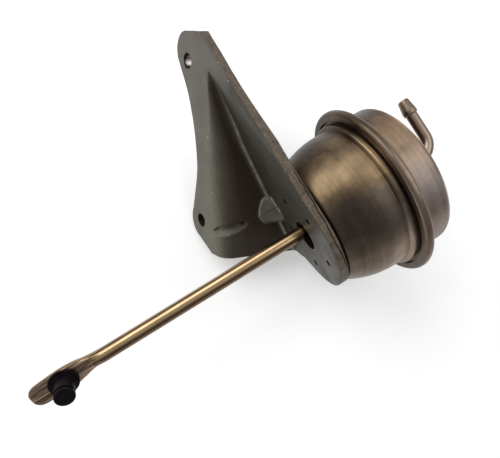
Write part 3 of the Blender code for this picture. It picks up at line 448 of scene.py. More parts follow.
def makeBrightBore():
    # the upper bolt hole: dark as painted shade, and painted bright where its wall catches the light
    material, tree, shader = startMaterial("brightBore", 0.9, 0.32)
    point = objectPoint(tree)
    gap = vectorMath(tree, "DISTANCE", point, rodAxis + Vector(boreLook["brightPlace"]) * mm)
    away = mathValue(tree, "ADD", times(tree, gap, boreLook["fade"]), wander(tree, point, 500, 0.5, 0.6))
    tree.links.new(ramp(tree, away, boreLook["colours"]), shader.inputs["Base Color"])
    bumpFrom(tree, shader, [(noiseValue(tree, point, 500, 4, 0.6), 0.2, 0.0001)])
    return material


# finishes of one cloudy colour: shader gives metallic, roughness and specular, cloud gives scale, detail and
# roughness, and bump gives scale, detail and strength
cloudyLooks = {
    # the weld pits and the lower bolt hole, dark inside as painted shade
    "darkRecess": {"shader": (0.0, 0.7, 0.2), "cloud": (700, 3), "bump": (700, 3, 0.3),
                   "colours": ((0.3, (0.004, 0.004, 0.003)), (0.7, (0.016, 0.013, 0.010)))},
    "blackPin": {"shader": (0.0, 0.40, 0.06), "cloud": (380, 5, 0.7), "bump": (1500, 3, 0.15),
                 "colours": ((0.35, (0.004, 0.003, 0.005)), (0.62, (0.009, 0.006, 0.008)),
                             (0.8, (0.045, 0.036, 0.038))),
                 "gloss": ((0.3, 0.32), (0.7, 0.5))},
    "moldedRubber": {"shader": (0.0, 0.65), "cloud": (300, 3), "bump": (1400, 2, 0.2),
                     "colours": ((0.3, (0.014, 0.014, 0.015)), (0.7, (0.03, 0.029, 0.028)))},
    "innerSteel": {"shader": (1.0, 0.38), "cloud": (180, 4), "bump": (900, 3, 0.12),
                   "colours": ((0.3, (0.42, 0.41, 0.39)), (0.7, (0.58, 0.56, 0.53)))},
    "oiledSteel": {"shader": (1.0, 0.5), "cloud": (180, 4), "bump": (900, 3, 0.12),
                   "colours": ((0.3, (0.03, 0.026, 0.021)), (0.7, (0.08, 0.068, 0.055)))},
    "springSteel": {"shader": (1.0, 0.36), "cloud": (180, 4), "bump": (900, 3, 0.12),
                    "colours": ((0.3, (0.20, 0.20, 0.21)), (0.7, (0.34, 0.33, 0.33)))},
    "bushBronze": {"shader": (1.0, 0.42), "cloud": (180, 4), "bump": (900, 3, 0.12),
                   "colours": ((0.3, (0.42, 0.28, 0.12)), (0.7, (0.58, 0.42, 0.20)))},
}


def makeCloudy(name, centre=(0, 0, 0)):
    look = cloudyLooks[name]
    material, tree, shader = startMaterial(name, *look["shader"])
    point = objectPoint(tree, centre)
    cloud = noiseValue(tree, point, *look["cloud"])
    tree.links.new(ramp(tree, cloud, look["colours"]), shader.inputs["Base Color"])
    if "gloss" in look:
        tree.links.new(ramp(tree, cloud, look["gloss"]), shader.inputs["Roughness"])
    scale, detail, strength = look["bump"]
    bumpFrom(tree, shader, [(noiseValue(tree, point, scale, detail), strength, 0.0001)])
    return material


bracketSteel, shearedEdge, brightBore = makeBracketSteel(), makeShearedEdge(), makeBrightBore()
canSteel, coverSteel, lipSteel, channelSteel, tubeSteel = [makePlatedSteel(name) for name in platedLooks]
polishedRod, brushedFlat = makePolishedRod(), makeBrushedFlat()
darkRecess, blackPin, moldedRubber = [makeCloudy(name) for name in ("darkRecess", "blackPin", "moldedRubber")]
innerSteel, oiledSteel, springSteel, bushBronze = [
    makeCloudy(name, rodAxis) for name in ("innerSteel", "oiledSteel", "springSteel", "bushBronze")]
print("materials made")

nodeFinishes = {
    "bracket": bracketSteel, "spring_can": canSteel, "cover_can": coverSteel, "hose_nipple": tubeSteel,
    "actuator_rod": polishedRod, "pivot_pin": blackPin, "diaphragm": moldedRubber, "wiper_seal": moldedRubber,
    "return_spring": springSteel, "guide_bush": bushBronze, "bush_housing": oiledSteel,
    "spring_seat": innerSteel, "piston": innerSteel, "shoulder_washer": innerSteel,
    "diaphragm_retainer": innerSteel, "head_washer": innerSteel,
}
for nodeName, finish in nodeFinishes.items():
    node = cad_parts[nodeName]
    node.data.materials.clear()
    node.data.materials.append(finish)


bracketShape = {
    "thickness": 3.8 * mm,
    "lobeRadius": 26.7 * mm,  # round end that carries the can
    "lobeArc": (90, 227),
    "lobeLeave": 9 * mm,  # straight on from the lobe, then over to the lower corner
    "lowerCorner": (-8.1 * mm, -32.5 * mm),
    "foldPoint": (77.9 * mm, 8.2 * mm),  # (y, z) where the wall runs out
    "foldSkew": math.radians(23.1),
    "plateTilt": math.radians(28.1),
    "foldHalfWidth": 4 * mm,
    "wallSkew": math.radians(28),
    "wallAngle": math.radians(88),
    "wallFoot": 95.5 * mm,
    "wallCrest": 80 * mm,
    "crestRadius": 10.5 * mm,
    "footRadius": 4.6 * mm,
    "edgeTurn": math.atan(0.2544),
    "tipY": 92.0 * mm,
    "boltHoles": ((90.5 * mm, -3.1 * mm), (31.1 * mm, -38.0 * mm)),
    "boltRadius": 3.45 * mm,
    "rodHole": 6.9 * mm,
    "rodHoleDrop": 1.8 * mm,
    "pitRadius": 1.55 * mm,
    "pitCircle": 16.85 * mm,
    "pitDepth": 2.6 * mm,
    "upperEar": (7.2 * mm, 4.5 * mm, 0.7 * mm),  # radius, and its middle from the bolt hole
    "upperArc": (42, -82),  # degrees
    "tipCorner": (2.3 * mm, 8.2 * mm),
    "lowerEar": 9.1 * mm,
    "lowerArc": (-22, -122),
    "tabCorner": (14.0 * mm, -39.3 * mm),
    "waist": ((82.4, -11.1), (74.2, -13.5), (66.4, -16.7), (58.9, -20.8), (51.5, -26.2), (45.4, -33.6)),
    "rows": (22, 168),  # above and along the wall
    "columns": (20, 14, 46, 14, 40, 8),  # plate, crest, wall, foot, plate, edge
    "steps": (0.25 * mm, 0.12 * mm, 0.06 * mm, 0.12 * mm, 0.25 * mm, 0.1 * mm),
    "edgeZone": 2.4 * mm,  # the face sinks towards the cut edge over this width
    "edgeSink": (0.08, 0.07, 0.28),  # mm everywhere, more at the lobe, more at the tip
    "edgeInset": 0.2 * mm,
    "topShare": 0.33,  # of the free edge that belongs to the rows above the wall
    "topDent": (0.70, (0.4, -1.3, -0.1), 2.6 * mm),  # share of the top edge, push in mm, reach
    "pitTurn": 3,
    "pitCount": 5,
}
shape = bracketShape
fold = Vector(shape["foldPoint"])
foldAlong = Vector((-math.cos(shape["foldSkew"]), math.sin(shape["foldSkew"])))
foldAcross = Vector((math.sin(shape["foldSkew"]), math.cos(shape["foldSkew"])))
footAlong = Vector((-math.cos(shape["wallSkew"]), -math.sin(shape["wallSkew"])))
footAcross = Vector((-math.sin(shape["wallSkew"]), math.cos(shape["wallSkew"])))
tiltTan, tiltCos = math.tan(shape["plateTilt"]), math.cos(shape["plateTilt"])
boltNormal = Vector((-tiltCos, *(foldAcross * math.sin(shape["plateTilt"]))))


def boltingX(flat, depth=0.0):
    # x of the tilted bolting plate over a place (y, z), at a depth into the sheet
    return (flat - fold).dot(foldAcross) * tiltTan + depth / tiltCos


def plateX(flat, depth=0.0):
    # the can's plate, running into the bolting plate over a soft fold
    width = max(1e-6, min(shape["foldHalfWidth"], 1.1 * (flat - fold).dot(foldAlong)))
    across = (boltingX(flat, depth) - depth) / tiltTan
    if across <= -width:
        return depth
    if across >= width:
        return depth + across * tiltTan
    return depth + tiltTan * (across + width) ** 2 / (4 * width)


def leanOf(flat):
    # how far aside the sheet's back lies for each unit of its depth
    small = 0.2 * mm
    slope = (plateX(flat + foldAcross * small) - plateX(flat - foldAcross * small)) / (2 * small)
    return -foldAcross * slope / math.sqrt(1 + slope * slope)


def footPoint(along, depth):
    # a point of the line where the wall meets the can's plate
    aside = -depth * math.tan(shape["wallAngle"] / 2)
    return Vector((depth, *(fold + footAlong * along + footAcross * aside)))


def crestPoint(along, depth):
    # the point above it, where the wall meets the bolting plate
    start = footPoint(along, depth).yz
    draft = footAcross / math.tan(shape["wallAngle"])
    height = (depth - boltingX(start, depth)) / (1 - draft.dot(foldAcross) * tiltTan)
    return Vector((depth - height, *(start - draft * height)))


def wallStart(depth):
    # where the wall's height comes down to nothing
    low, high = -20 * mm, 20 * mm
    for _ in range(40):
        middle = (low + high) / 2
        low, high = (low, middle) if crestPoint(middle, depth).x < depth else (middle, high)
    return high


def arcPoints(centre, radius, ends, steps):
    first, last = ends
    angles = [math.radians(first + (last - first) * k / steps) for k in range(steps + 1)]
    return [Vector(centre) + Vector((math.cos(a), math.sin(a))) * radius for a in angles]


def spreadAlong(points, shares):
    # points at these shares of a path's length
    lengths = [0.0]
    for a, b in zip(points, points[1:]):
        lengths.append(lengths[-1] + (b - a).length)
    found, k = [], 1
    for share in shares:
        target = min(max(share, 0.0), 1.0) * lengths[-1]
        while k < len(lengths) - 1 and lengths[k] < target:
            k += 1
        part = (target - lengths[k - 1]) / max(lengths[k] - lengths[k - 1], 1e-12)
        found.append(points[k - 1].lerp(points[k], min(max(part, 0.0), 1.0)))
    return found


def smoothThrough(points, steps=10):
    # a smooth path that passes every point
    ends = [points[0] * 2 - points[1]] + points + [points[-1] * 2 - points[-2]]
    path = []
    for a, b, c, d in zip(ends, ends[1:], ends[2:], ends[3:]):
        for k in range(steps):
            t = k / steps
            path.append(0.5 * (2 * b + (c - a) * t + (2 * a - 5 * b + 4 * c - d) * t * t
                               + (3 * b - 3 * c + d - a) * t ** 3))
    return path + [points[-1]]


def longEdgeZ(y):
    turnY = fold.x - (shape["lobeRadius"] - fold.y) / math.tan(shape["foldSkew"])
    return shape["lobeRadius"] - max(0.0, y - turnY) * math.tan(shape["edgeTurn"])


def leftEdge():
    # the bolting plate's free edge, round both ears
    radius, aheadY, aheadZ = shape["upperEar"]
    upper = Vector(shape["boltHoles"][0]) + Vector((aheadY, aheadZ))
    ear = arcPoints(upper, radius, shape["upperArc"], 18)
    lower = arcPoints(shape["boltHoles"][1], shape["lowerEar"], shape["lowerArc"], 15)
    waist = [Vector(p) * mm for p in shape["waist"]]
    tip = upper + Vector(shape["tipCorner"])
    return smoothThrough([tip] + ear + waist + lower + [Vector(shape["tabCorner"])])


def rightEdge():
    # the long sheared edge, then the lobe and its run out to the wall
    straight = [Vector((y * mm, longEdgeZ(y * mm))) for y in [shape["tipY"] / mm] + list(range(88, 1, -2))]
    lobe = arcPoints((0, 0), shape["lobeRadius"], shape["lobeArc"], 60)
    turn = math.radians(shape["lobeArc"][1] - 180)
    leave = lobe[-1] + Vector((math.sin(turn), -math.cos(turn))) * shape["lobeLeave"]
    end = Vector(shape["lowerCorner"])
    tail = smoothThrough([lobe[-1], leave, (leave + end) / 2 - Vector((0.5 * mm, 0)), end], 8)
    return straight, lobe + tail[1:]


def bendPoints(before, corner, after, radius, limit):
    # a round bend in place of a corner, no longer than its limits
    back, ahead = before - corner, after - corner
    half = back.angle(ahead, math.pi) / 2
    reach = min(radius / math.tan(half), limit[0] * back.length, limit[1] * ahead.length)
    first, last = corner + back.normalized() * reach, corner + ahead.normalized() * reach
    shares = [k / 24 for k in range(25)]
    return [first * (1 - t) ** 2 + corner * 2 * t * (1 - t) + last * t * t for t in shares]


def crossSection(left, crest, foot, right, crestRadius, footRadius):
    # one row of points over the plate, the crest, the wall, the foot and the plate with its edge
    over = bendPoints(left, crest, foot, crestRadius, (0.6, 0.48))
    under = bendPoints(crest, foot, right, footRadius, (0.48, 0.7))
    inward = under[-1] - right
    zone = right + inward.normalized() * min(shape["edgeZone"], 0.4 * inward.length)
    runs = [[left, over[0]], over, [over[-1], under[0]], under, [under[-1], zone], [zone, right]]
    real = [sum((b - a).length for a, b in zip(run, run[1:])) for run in runs]
    wanted = [max(r, n * s) for r, n, s in zip(real, shape["columns"], shape["steps"])]
    wanted[-1] = real[-1]
    spare = sum(real) - sum(wanted[1:4]) - real[-1]
    ends = real[0] + real[4] or 1e-9
    wanted[0], wanted[4] = spare * real[0] / ends, spare * real[4] / ends
    shares, gone = [0.0], 0.0
    for run, (length, count) in enumerate(zip(wanted, shape["columns"])):
        for k in range(1, count + 1):
            part = k / count if run < len(runs) - 1 else 1 - (1 - k / count) ** 1.6  # closer at the edge
            shares.append((gone + length * part) / sum(real))
        gone += length
    return spreadAlong([left] + over + under + [right], shares)


def sheetRows(depth):
    # rows of points over the sheet's front, depth 0, or its back
    topRows, wallRows = shape["rows"]
    rowCount = topRows + wallRows
    straight, roundEnd = rightEdge()
    top = shape["topShare"]
    shares = [top * k / topRows for k in range(topRows)]
    shares += [top + (1 - top) * k / wallRows for k in range(wallRows + 1)]
    lefts = spreadAlong(leftEdge(), shares)
    lobeRow = rowCount // 2
    rights = spreadAlong(straight, [k / lobeRow for k in range(lobeRow)])
    rights += spreadAlong(roundEnd, [k / (rowCount - lobeRow) for k in range(rowCount - lobeRow + 1)])
    shift = Vector(boltNormal[1:]) * -depth
    begin = wallStart(depth)
    topMiddle = (lefts[0] + rights[0]) / 2 + shift
    vertex = footPoint(begin, depth).yz
    rows = []
    for i, (left, right) in enumerate(zip(lefts, rights)):
        left, right = left + shift, right + leanOf(right) * depth
        if i < topRows:
            middle = Vector((0, *topMiddle.lerp(vertex, i / topRows)))
            row = crossSection(Vector((0, *left)), middle, middle, Vector((0, *right)), 1, 1)
            rows.append([Vector((boltingX(p.yz, depth), *p.yz)) for p in row])
            continue
        share = (i - topRows) / wallRows
        crest = crestPoint(begin + (shape["wallCrest"] - begin) * share, depth)
        foot = footPoint(begin + (shape["wallFoot"] - begin) * share, depth)
        row = crossSection(
            Vector((boltingX(left, depth), *left)), crest, foot, Vector((depth, *right)),
            shape["crestRadius"] - depth, shape["footRadius"] + depth)
        split = sum(shape["columns"][:3]) + 1
        rows.append(row[:split] + [p + Vector((plateX(p.yz, depth) - depth, 0, 0)) for p in row[split:]])
    return rows


darts = {
    "footAlong": 69.5 * mm,
    "footReach": (7.4 * mm, 6.2 * mm),  # up and down the wall's foot
    "footRound": (1.3, 2.3),  # how square each end of the pad is
    "footFloor": 2.0 * mm,  # the plain fillet's height over the corner
    "footHeight": 6.3 * mm,
    "footSoft": 0.3 * mm,
    "crestAlong": 66.5 * mm,
    "crestReach": (2.7 * mm, 7.8 * mm),
    "crestShift": (0.3 * mm, 2.3 * mm),
    "crestSlope": 0.25,
    "crestDepth": 1.9 * mm,
    "crestRidge": 0.25 * mm,
    "footZone": (9 * mm, 12 * mm),  # how far across and out the pad reaches
    "footCrown": (0.35 * mm, 6.5 * mm),  # how far it has dropped at this distance from its middle
    "crestZone": (6 * mm, 14 * mm, 12 * mm),  # the groove, along, across and out
    "crestSquare": 2.1,
    "highlightShare": (0.85, 0.3, 0.35),  # painted highlight at the pad's upper and lower end and round the groove
}


def dartFrames():
    # middle, way down the wall, way across and way out of both darts
    here = footPoint(darts["footAlong"], 0.0)
    down = Vector((0, *footAlong))
    out = (Vector((-1, 0, 0)) + Vector((0, *footAcross))).normalized()
    foot = (here, down, out.cross(down), out)
    here = crestPoint(darts["crestAlong"], 0.0)
    down = (crestPoint(darts["crestAlong"] + mm, 0.0) - here).normalized()
    wallIn = (footPoint(darts["crestAlong"], 0.0) - here).normalized()
    plateIn = boltNormal.cross(down).normalized()
    plateIn = -plateIn if plateIn.dot(wallIn) > 0 else plateIn
    out = -(wallIn + plateIn).normalized()
    across = out.cross(down).normalized()
    return foot, (here, down, -across if across.dot(wallIn) < 0 else across, out)


def softStep(value):
    value = min(max(value, 0.0), 1.0)
    return value * value * (3 - 2 * value)


def offsets(point, dart):
    # how far a point lies from a dart's middle, along, across and out
    here, *ways = dart
    return [(point - here).dot(way) for way in ways]


def pressPad(point, dart):
    # the raised pad in the wall's foot; also says how much painted highlight a point gets at the pad's rim and
    # whether it lies on the pad
    u, v, h = offsets(point, dart)
    end = 0 if u < 0 else 1
    u, square = abs(u) / darts["footReach"][end], darts["footRound"][end]
    across, away = darts["footZone"]
    if u >= 1 or abs(v) >= across or h >= away:
        return point, 0.0, 0.0
    soft, (drop, reach) = darts["footSoft"], darts["footCrown"]
    rise = (darts["footHeight"] - darts["footFloor"]) * (1 - u ** square) ** (1 / square)
    level = darts["footFloor"] + rise - drop * (v / reach) ** 2
    gap = (level - h) / mm
    pad = softStep(gap / 0.5 + 0.5) * softStep((1 - u) * 6)
    highlightAndWear = math.exp(-((gap - 0.4) / 0.5) ** 2) * darts["highlightShare"][end]
    if h < level + soft:
        top = max(h, level) + max(soft - abs(h - level), 0.0) ** 2 / (4 * soft)
        point = point + dart[3] * (top - h) * min(1.0, (1 - u) * 14)
    return point, highlightAndWear, pad


def pressGroove(point, dart):
    # the groove over the crest, with a low ridge round its lower end; also says how much painted highlight a
    # point gets round the groove's rim
    u, v, h = offsets(point, dart)
    if any(abs(value) >= reach for value, reach in zip((u, v, h), darts["crestZone"])):
        return point, 0.0
    shiftU, shiftV = darts["crestShift"]
    reachU, reachV = darts["crestReach"]
    u = (u - shiftU + darts["crestSlope"] * v) / reachU
    v = (v - shiftV) / reachV
    square = darts["crestSquare"]
    middle = (abs(u) ** square + abs(v) ** square) ** (1 / square)
    deep = darts["crestDepth"] * softStep((1.08 - middle) / (0.75 if u > 0 else 0.3))
    ridge = darts["crestRidge"] * math.exp(-((middle - 1.3) / 0.22) ** 2) if u > 0 else 0.0
    highlightAndWear = darts["highlightShare"][2] * math.exp(-((middle - 1.05) / 0.14) ** 2) * softStep(u + 0.4)
    return point - dart[3] * (deep - ridge), highlightAndWear


sheetShadeAndHighlight = {
    "growRows": (6, 22),  # they begin this many rows before the wall does, and grow over so many
    "lowFrom": (0.80, 0.12),  # share of the wall's length where its lower end gets greyer, and over how much
    "lowDark": 0.15,
    "wallBrown": 0.85,
    "footBrown": 0.98,
    "crestHighlight": (0.3, 0.2, 0.10),  # place across the bend, width, strength
    "footHighlight": (0.54, 0.13, 0.66),
    "footHighlightShift": (0.10, 0.12),  # towards the lower end the place and the strength change by so much
    # how dark the can's plate is painted, as shade
    "plateDark": 0.92,
}


def bellAt(part, place, width):
    return math.exp(-((part - place) / width) ** 2)


def shadeAndHighlightOf(i, k, count):
    # painted shade and highlight on the sheet's front at one row and column, before the darts: how dark, how
    # brown and how lit
    look, topRows = sheetShadeAndHighlight, shape["rows"][0]
    plateEnd, crestEnd, wallEnd, footEnd, _, edgeEnd = [sum(shape["columns"][:n + 1]) for n in range(6)]
    down = (i - topRows) / (count - 1 - topRows)  # 0 where the wall begins, 1 at the lower edge
    begun = softStep((i - topRows + look["growRows"][0]) / look["growRows"][1])
    low = softStep((down - look["lowFrom"][0]) / look["lowFrom"][1])
    if k <= plateEnd:
        return 0.0, 0.0, 0.0
    if k <= crestEnd:
        part = (k - plateEnd) / (crestEnd - plateEnd)
        brown = (look["wallBrown"] - look["lowDark"] * low) * softStep((part - 0.12) / 0.88)
        place, width, strength = look["crestHighlight"]
        return look["lowDark"] * low * part, brown * begun, strength * bellAt(part, place, width) * begun
    if k <= wallEnd:
        part = (k - crestEnd) / (wallEnd - crestEnd)
        low *= 1 - 0.6 * part
        deeper = (look["footBrown"] - look["wallBrown"]) * softStep(part / 0.25)
        return look["lowDark"] * low, (look["wallBrown"] + deeper - look["lowDark"] * low) * begun, 0.0
    if k <= footEnd:
        part = (k - wallEnd) / (footEnd - wallEnd)
        dark, brown = softStep((part - 0.35) / 0.5), look["footBrown"] * softStep((0.70 - part) / 0.6)
        place, width, strength = look["footHighlight"]
        shift, fade = look["footHighlightShift"]
        line = bellAt(part, place - shift * down, width) * (strength - fade * down)
        return dark * begun, brown * begun, line * begun
    part = (k - footEnd) / (edgeEnd - footEnd)
    return begun * (look["plateDark"] + (1 - look["plateDark"]) * part), 0.0, 0.0


def sinkEdge(front, back):
    # the face rolls down towards the cut edge, most of all round the lobe and at the tip
    zone = shape["columns"][-1]
    plain, atLobe, atTip = shape["edgeSink"]
    for row, under in zip(front, back):
        rim = row[-1]
        lobe = softStep((12 * mm - rim.y) / (14 * mm)) * softStep((rim.z - 8 * mm) / (14 * mm))
        sink = plain + atLobe * lobe + atTip * softStep((rim.y - 66 * mm) / (14 * mm))
        width = max(1e-9, (row[-1] - row[-1 - zone]).length)
        for k in range(-zone, 0):
            share = 1 - (row[k] - rim).length / width
            thick = under[k] - row[k]
            row[k] = row[k] + thick.normalized() * sink * mm * share * share
    # a dent in the top edge
    share, push, reach = shape["topDent"]
    dent = front[0][0].lerp(front[0][-1], share)
    for row in front[:7]:
        for k, point in enumerate(row):
            near = max(0.0, 1 - (point - dent).length / reach)
            row[k] = point + Vector(push) * mm * near * near


tornEdge = {
    "plain": 2.6,  # mm behind the front face where nothing is torn
    "straight": (3.05, -0.3),  # along the straight edge, and its change towards the lobe
    "lobe": (2.75, -0.3, 0.7),  # round the lobe, its first change and its second
    "fade": (26, 142),  # it begins below this y in mm and ends at this angle round the lobe
    "waves": ((1.7, 0.22), (5.5, 0.15)),  # length and height in mm
    "groove": 0.42,  # depth in mm
}


def crackDepth(rim):
    # how far behind the front face the torn line runs along the cut edge, and how deep it is
    if rim.z < 0 and rim.y < 30 * mm:
        return tornEdge["plain"] * mm, 0.0
    angle = math.degrees(math.atan2(rim.z, rim.y)) if rim.y < 0 else 90
    if rim.y > 0:
        depth, change = tornEdge["straight"]
        depth += change * softStep((12 * mm - rim.y) / (12 * mm))
    else:
        depth, first, second = tornEdge["lobe"]
        depth += first * softStep((angle - 92) / 12) + second * softStep((angle - 108) / 22)
    fromY, toAngle = tornEdge["fade"]
    strength = softStep((fromY * mm - rim.y) / (8 * mm)) * softStep((toAngle - angle) / 10)
    wave = sum(noise.noise(rim / (length * mm)) * height for length, height in tornEdge["waves"])
    return (depth + wave) * mm, strength


tornLayers = (0, 0, 0, 0, 0.1, 0.8, 1, 0.9, 0.1, 0, 0)  # how torn each station across the cut edge is


def rimLayers(rim, tip):
    # stations across the cut edge: depth from the front face, and how far back from the outline
    crack, strength = crackDepth(rim)
    thick, inset = shape["thickness"], shape["edgeInset"]
    torn = (0.05 + 0.06 * noise.noise(rim / (0.9 * mm))) * mm
    wear = 0.06 * mm if tip else 0.0
    return [
        (0.07 * mm + wear, inset * 0.42 + wear), (0.24 * mm + wear, inset * 0.10 + wear), (0.55 * mm, wear),
        (crack * 0.55, 0.0), (crack - 0.32 * mm, torn * 0.5), (crack - 0.17 * mm, torn + 0.04 * mm * strength),
        (crack, torn + tornEdge["groove"] * mm * strength), (crack + 0.15 * mm, torn + 0.05 * mm * strength),
        (crack + 0.3 * mm, torn), (thick - 0.2 * mm, inset * 0.12 + torn),
        (thick - 0.06 * mm, inset * 0.45 + torn),
    ]


def pressedSheet():
    # rows of the front with both darts pressed in, rows of the back, and the painted shade and highlights of the
    # front
    foot, crest = dartFrames()
    front, back = sheetRows(0.0), sheetRows(shape["thickness"])
    sinkEdge(front, back)
    shadeAndHighlight = []
    for i, row in enumerate(front):
        for k, point in enumerate(row):
            point, padHighlight, pad = pressPad(point, foot)
            row[k], grooveHighlight = pressGroove(point, crest)
            dark, brown, highlightAndWear = shadeAndHighlightOf(i, k, len(front))
            dark, brown = dark + (0.5 - dark) * pad, brown * (1 - pad) + 0.12 * pad
            shadeAndHighlight.append((dark, brown, max(highlightAndWear * (1 - pad), padHighlight, grooveHighlight)))
    return front, back, shadeAndHighlight


def gridFaces(start, width, count):
    corners = [start + i * width + k for i in range(count - 1) for k in range(width - 1)]
    return [(c, c + 1, c + width + 1, c + width) for c in corners]


def outline(points, width, count):
    # round the front: a point's number, the ways out and through the sheet, and if it is on the long edge
    rim = [i * width for i in range(count)] + [(count - 1) * width + k for k in range(1, width)]
    rim += [i * width + width - 1 for i in range(count - 2, -1, -1)] + list(range(width - 2, 0, -1))
    loop = []
    for a, here, b in zip(rim[-1:] + rim, rim, rim[1:] + rim[:1]):
        along, through = points[b] - points[a], points[here + width * count] - points[here]
        out = through.cross(along).normalized()
        loop.append((here, out, through.normalized(), here % width == width - 1 or here < width))
    return loop


def closeEdge(points, faces, loop, size):
    # lays stations across the cut edge and joins them to both sides; returns how torn each new point is
    layers, tears = [], []
    for here, out, through, longEdge in loop:
        stations = rimLayers(points[here], longEdge and points[here].y > 80 * mm)
        strength = crackDepth(points[here])[1] * (0.6 + 0.8 * abs(noise.noise(points[here] / (2.3 * mm))))
        tears += [strength * tear for tear in tornLayers]
        layers.append([here] + [len(points) + k for k in range(len(stations))] + [here + size])
        points += [points[here] + through * depth - out * setBack for depth, setBack in stations]
    for here, out, through, longEdge in loop:
        for corner in (here, here + size):
            points[corner] = points[corner] - out * shape["edgeInset"]
    for first, second in zip(layers, layers[1:] + layers[:1]):
        for k in range(len(first) - 1):
            faces.append((first[k], second[k], second[k + 1], first[k + 1]))
    return tears


def buildBracket():
    front, back, shadeAndHighlight = pressedSheet()
    width, count = len(front[0]), len(front)
    size = width * count
    points = [p for row in front + back for p in row]
    faces = gridFaces(0, width, count) + [face[::-1] for face in gridFaces(size, width, count)]
    rimStart = len(faces)
    tears = [0.0] * len(points)
    tears += closeEdge(points, faces, outline(points, width, count), size)
    mesh = bpy.data.meshes.new("bracketSheet")
    mesh.from_pydata([p + rodAxis for p in points], [], faces)
    piece = bpy.data.objects.new("bracketSheet", mesh)
    bpy.context.scene.collection.objects.link(piece)
    mesh.materials.append(bracketSteel)
    mesh.materials.append(shearedEdge)
    for face in mesh.polygons[rimStart:]:
        face.material_index = 1
    shadeAndHighlight += [(0.0, 0.0, 0.0)] * (len(points) - len(shadeAndHighlight))
    amounts = dict(zip(("plateShade", "brownWallShade", "highlightLine"), zip(*shadeAndHighlight)), tornLine=tears)
    for name, values in amounts.items():
        mesh.attributes.new(name, "FLOAT", "POINT").data.foreach_set("value", values)
    makeActive(piece)
    bpy.ops.object.mode_set(mode="EDIT")
    bpy.ops.mesh.select_all(action="SELECT")
    bpy.ops.mesh.normals_make_consistent(inside=False)
    bpy.ops.object.mode_set(mode="OBJECT")
    cutHoles(piece)
    finishPiece(piece, "housing", 35)
    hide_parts("bracket")


def addCutter(place, direction, radius, low, high, sides=64):
    # a round tool along a line, from one depth to another
    deselectAll()
    bpy.ops.mesh.primitive_cylinder_add(vertices=sides, radius=radius, depth=high - low)
    tool = bpy.context.active_object
    turn = direction.to_track_quat("Z", "Y").to_matrix().to_4x4()
    tool.matrix_world = Matrix.Translation(place + direction * (low + high) / 2) @ turn
    return tool


def cutAway(piece, tool, materialMode="INDEX"):
    # takes a tool out of a piece, then throws the tool away
    cut = piece.modifiers.new("cut", "BOOLEAN")
    cut.operation = "DIFFERENCE"
    cut.solver = "EXACT"
    cut.material_mode = materialMode
    cut.object = tool
    makeActive(piece)
    bpy.ops.object.modifier_apply(modifier=cut.name)
    bpy.data.objects.remove(tool, do_unlink=True)


def cutHoles(piece):
    tools = []
    for flat in shape["boltHoles"]:
        flat = Vector(flat)
        place = Vector((boltingX(flat), *flat)) + rodAxis
        tools.append(addCutter(place, boltNormal, shape["boltRadius"], -9 * mm, 4 * mm))
    along = Vector((1, 0, 0))
    middle = rodAxis - Vector((0, shape["rodHoleDrop"], 0))
    tools.append(addCutter(middle, along, shape["rodHole"], -5 * mm, 9 * mm, 96))
    for k in range(shape["pitCount"]):
        turn = math.radians(shape["pitTurn"] + 360 / shape["pitCount"] * k)
        place = middle + Vector((0, math.cos(turn), math.sin(turn))) * shape["pitCircle"]
        tools.append(addCutter(place, along, shape["pitRadius"], -4 * mm, shape["pitDepth"], 32))
    for tool in tools:
        tool.data.materials.append(brightBore if tool is tools[0] else darkRecess)
    deselectAll()
    for tool in tools:
        tool.select_set(True)
    bpy.context.view_layer.objects.active = tools[0]
    bpy.ops.object.join()
    cutAway(piece, bpy.context.active_object, "TRANSFER")


buildBracket()
print("bracket pressed and pierced")


def roundCorners(corners, steps=6):
    # corners are (x, r, fillet); each fillet becomes an arc
    path = []
    for i, (x, r, fillet) in enumerate(corners):
        here = Vector((x, r))
        if not fillet:
            path.append(here)
            continue
        before = (Vector(corners[i - 1][:2]) - here).normalized()
        after = (Vector(corners[(i + 1) % len(corners)][:2]) - here).normalized()
        half = before.angle(after) / 2
        reach = fillet / math.tan(half)
        centre = here + (before + after).normalized() * fillet / math.sin(half)
        first = here + before * reach - centre
        sweep = first.angle_signed(here + after * reach - centre)
        path += [centre + Matrix.Rotation(-sweep * k / steps, 2) @ first for k in range(steps + 1)]
    return path


def sheetProfile(path, thickness):
    # both sides of a sheet that follows a middle line of (x, r)
    sides = ([], [])
    for i, here in enumerate(path):
        before = (here - path[i - 1]).normalized() if i else None
        after = (path[i + 1] - here).normalized() if i < len(path) - 1 else None
        along = ((before or after) + (after or before)).normalized()
        across = Vector((-along.y, along.x)) * thickness / 2 / max(0.3, along.dot(after or before))
        sides[0].append(here + across)
        sides[1].append(here - across)
    return sides[0] + sides[1][::-1]


def startRing(name, x, radius, sides):
    # a ring round the rod's axis, left selected in edit mode
    deselectAll()
    bpy.ops.mesh.primitive_circle_add(
        vertices=sides, radius=radius, location=rodAxis + Vector((x, 0, 0)), rotation=(0, math.pi / 2, 0))
    piece = bpy.context.active_object
    piece.name = name
    bpy.ops.object.transform_apply(location=True, rotation=True, scale=True)
    bpy.ops.object.mode_set(mode="EDIT")
    bpy.ops.mesh.select_mode(type="EDGE")
    bpy.ops.mesh.select_all(action="SELECT")
    return piece


def pullThrough(ring, stations, centre=rodAxis, axis=0):
    # extrudes the selected ring through stations of (distance, radius) along one axis
    place, radius = ring
    for nextPlace, nextRadius in stations:
        step, target, size = Vector(), Vector(centre), Vector((1, 1, 1)) * (nextRadius / radius)
        step[axis], size[axis] = nextPlace - place, 1
        target[axis] += nextPlace
        bpy.ops.mesh.extrude_region_move()
        bpy.ops.transform.translate(value=step)
        bpy.ops.transform.resize(value=size, center_override=target)
        place, radius = nextPlace, nextRadius


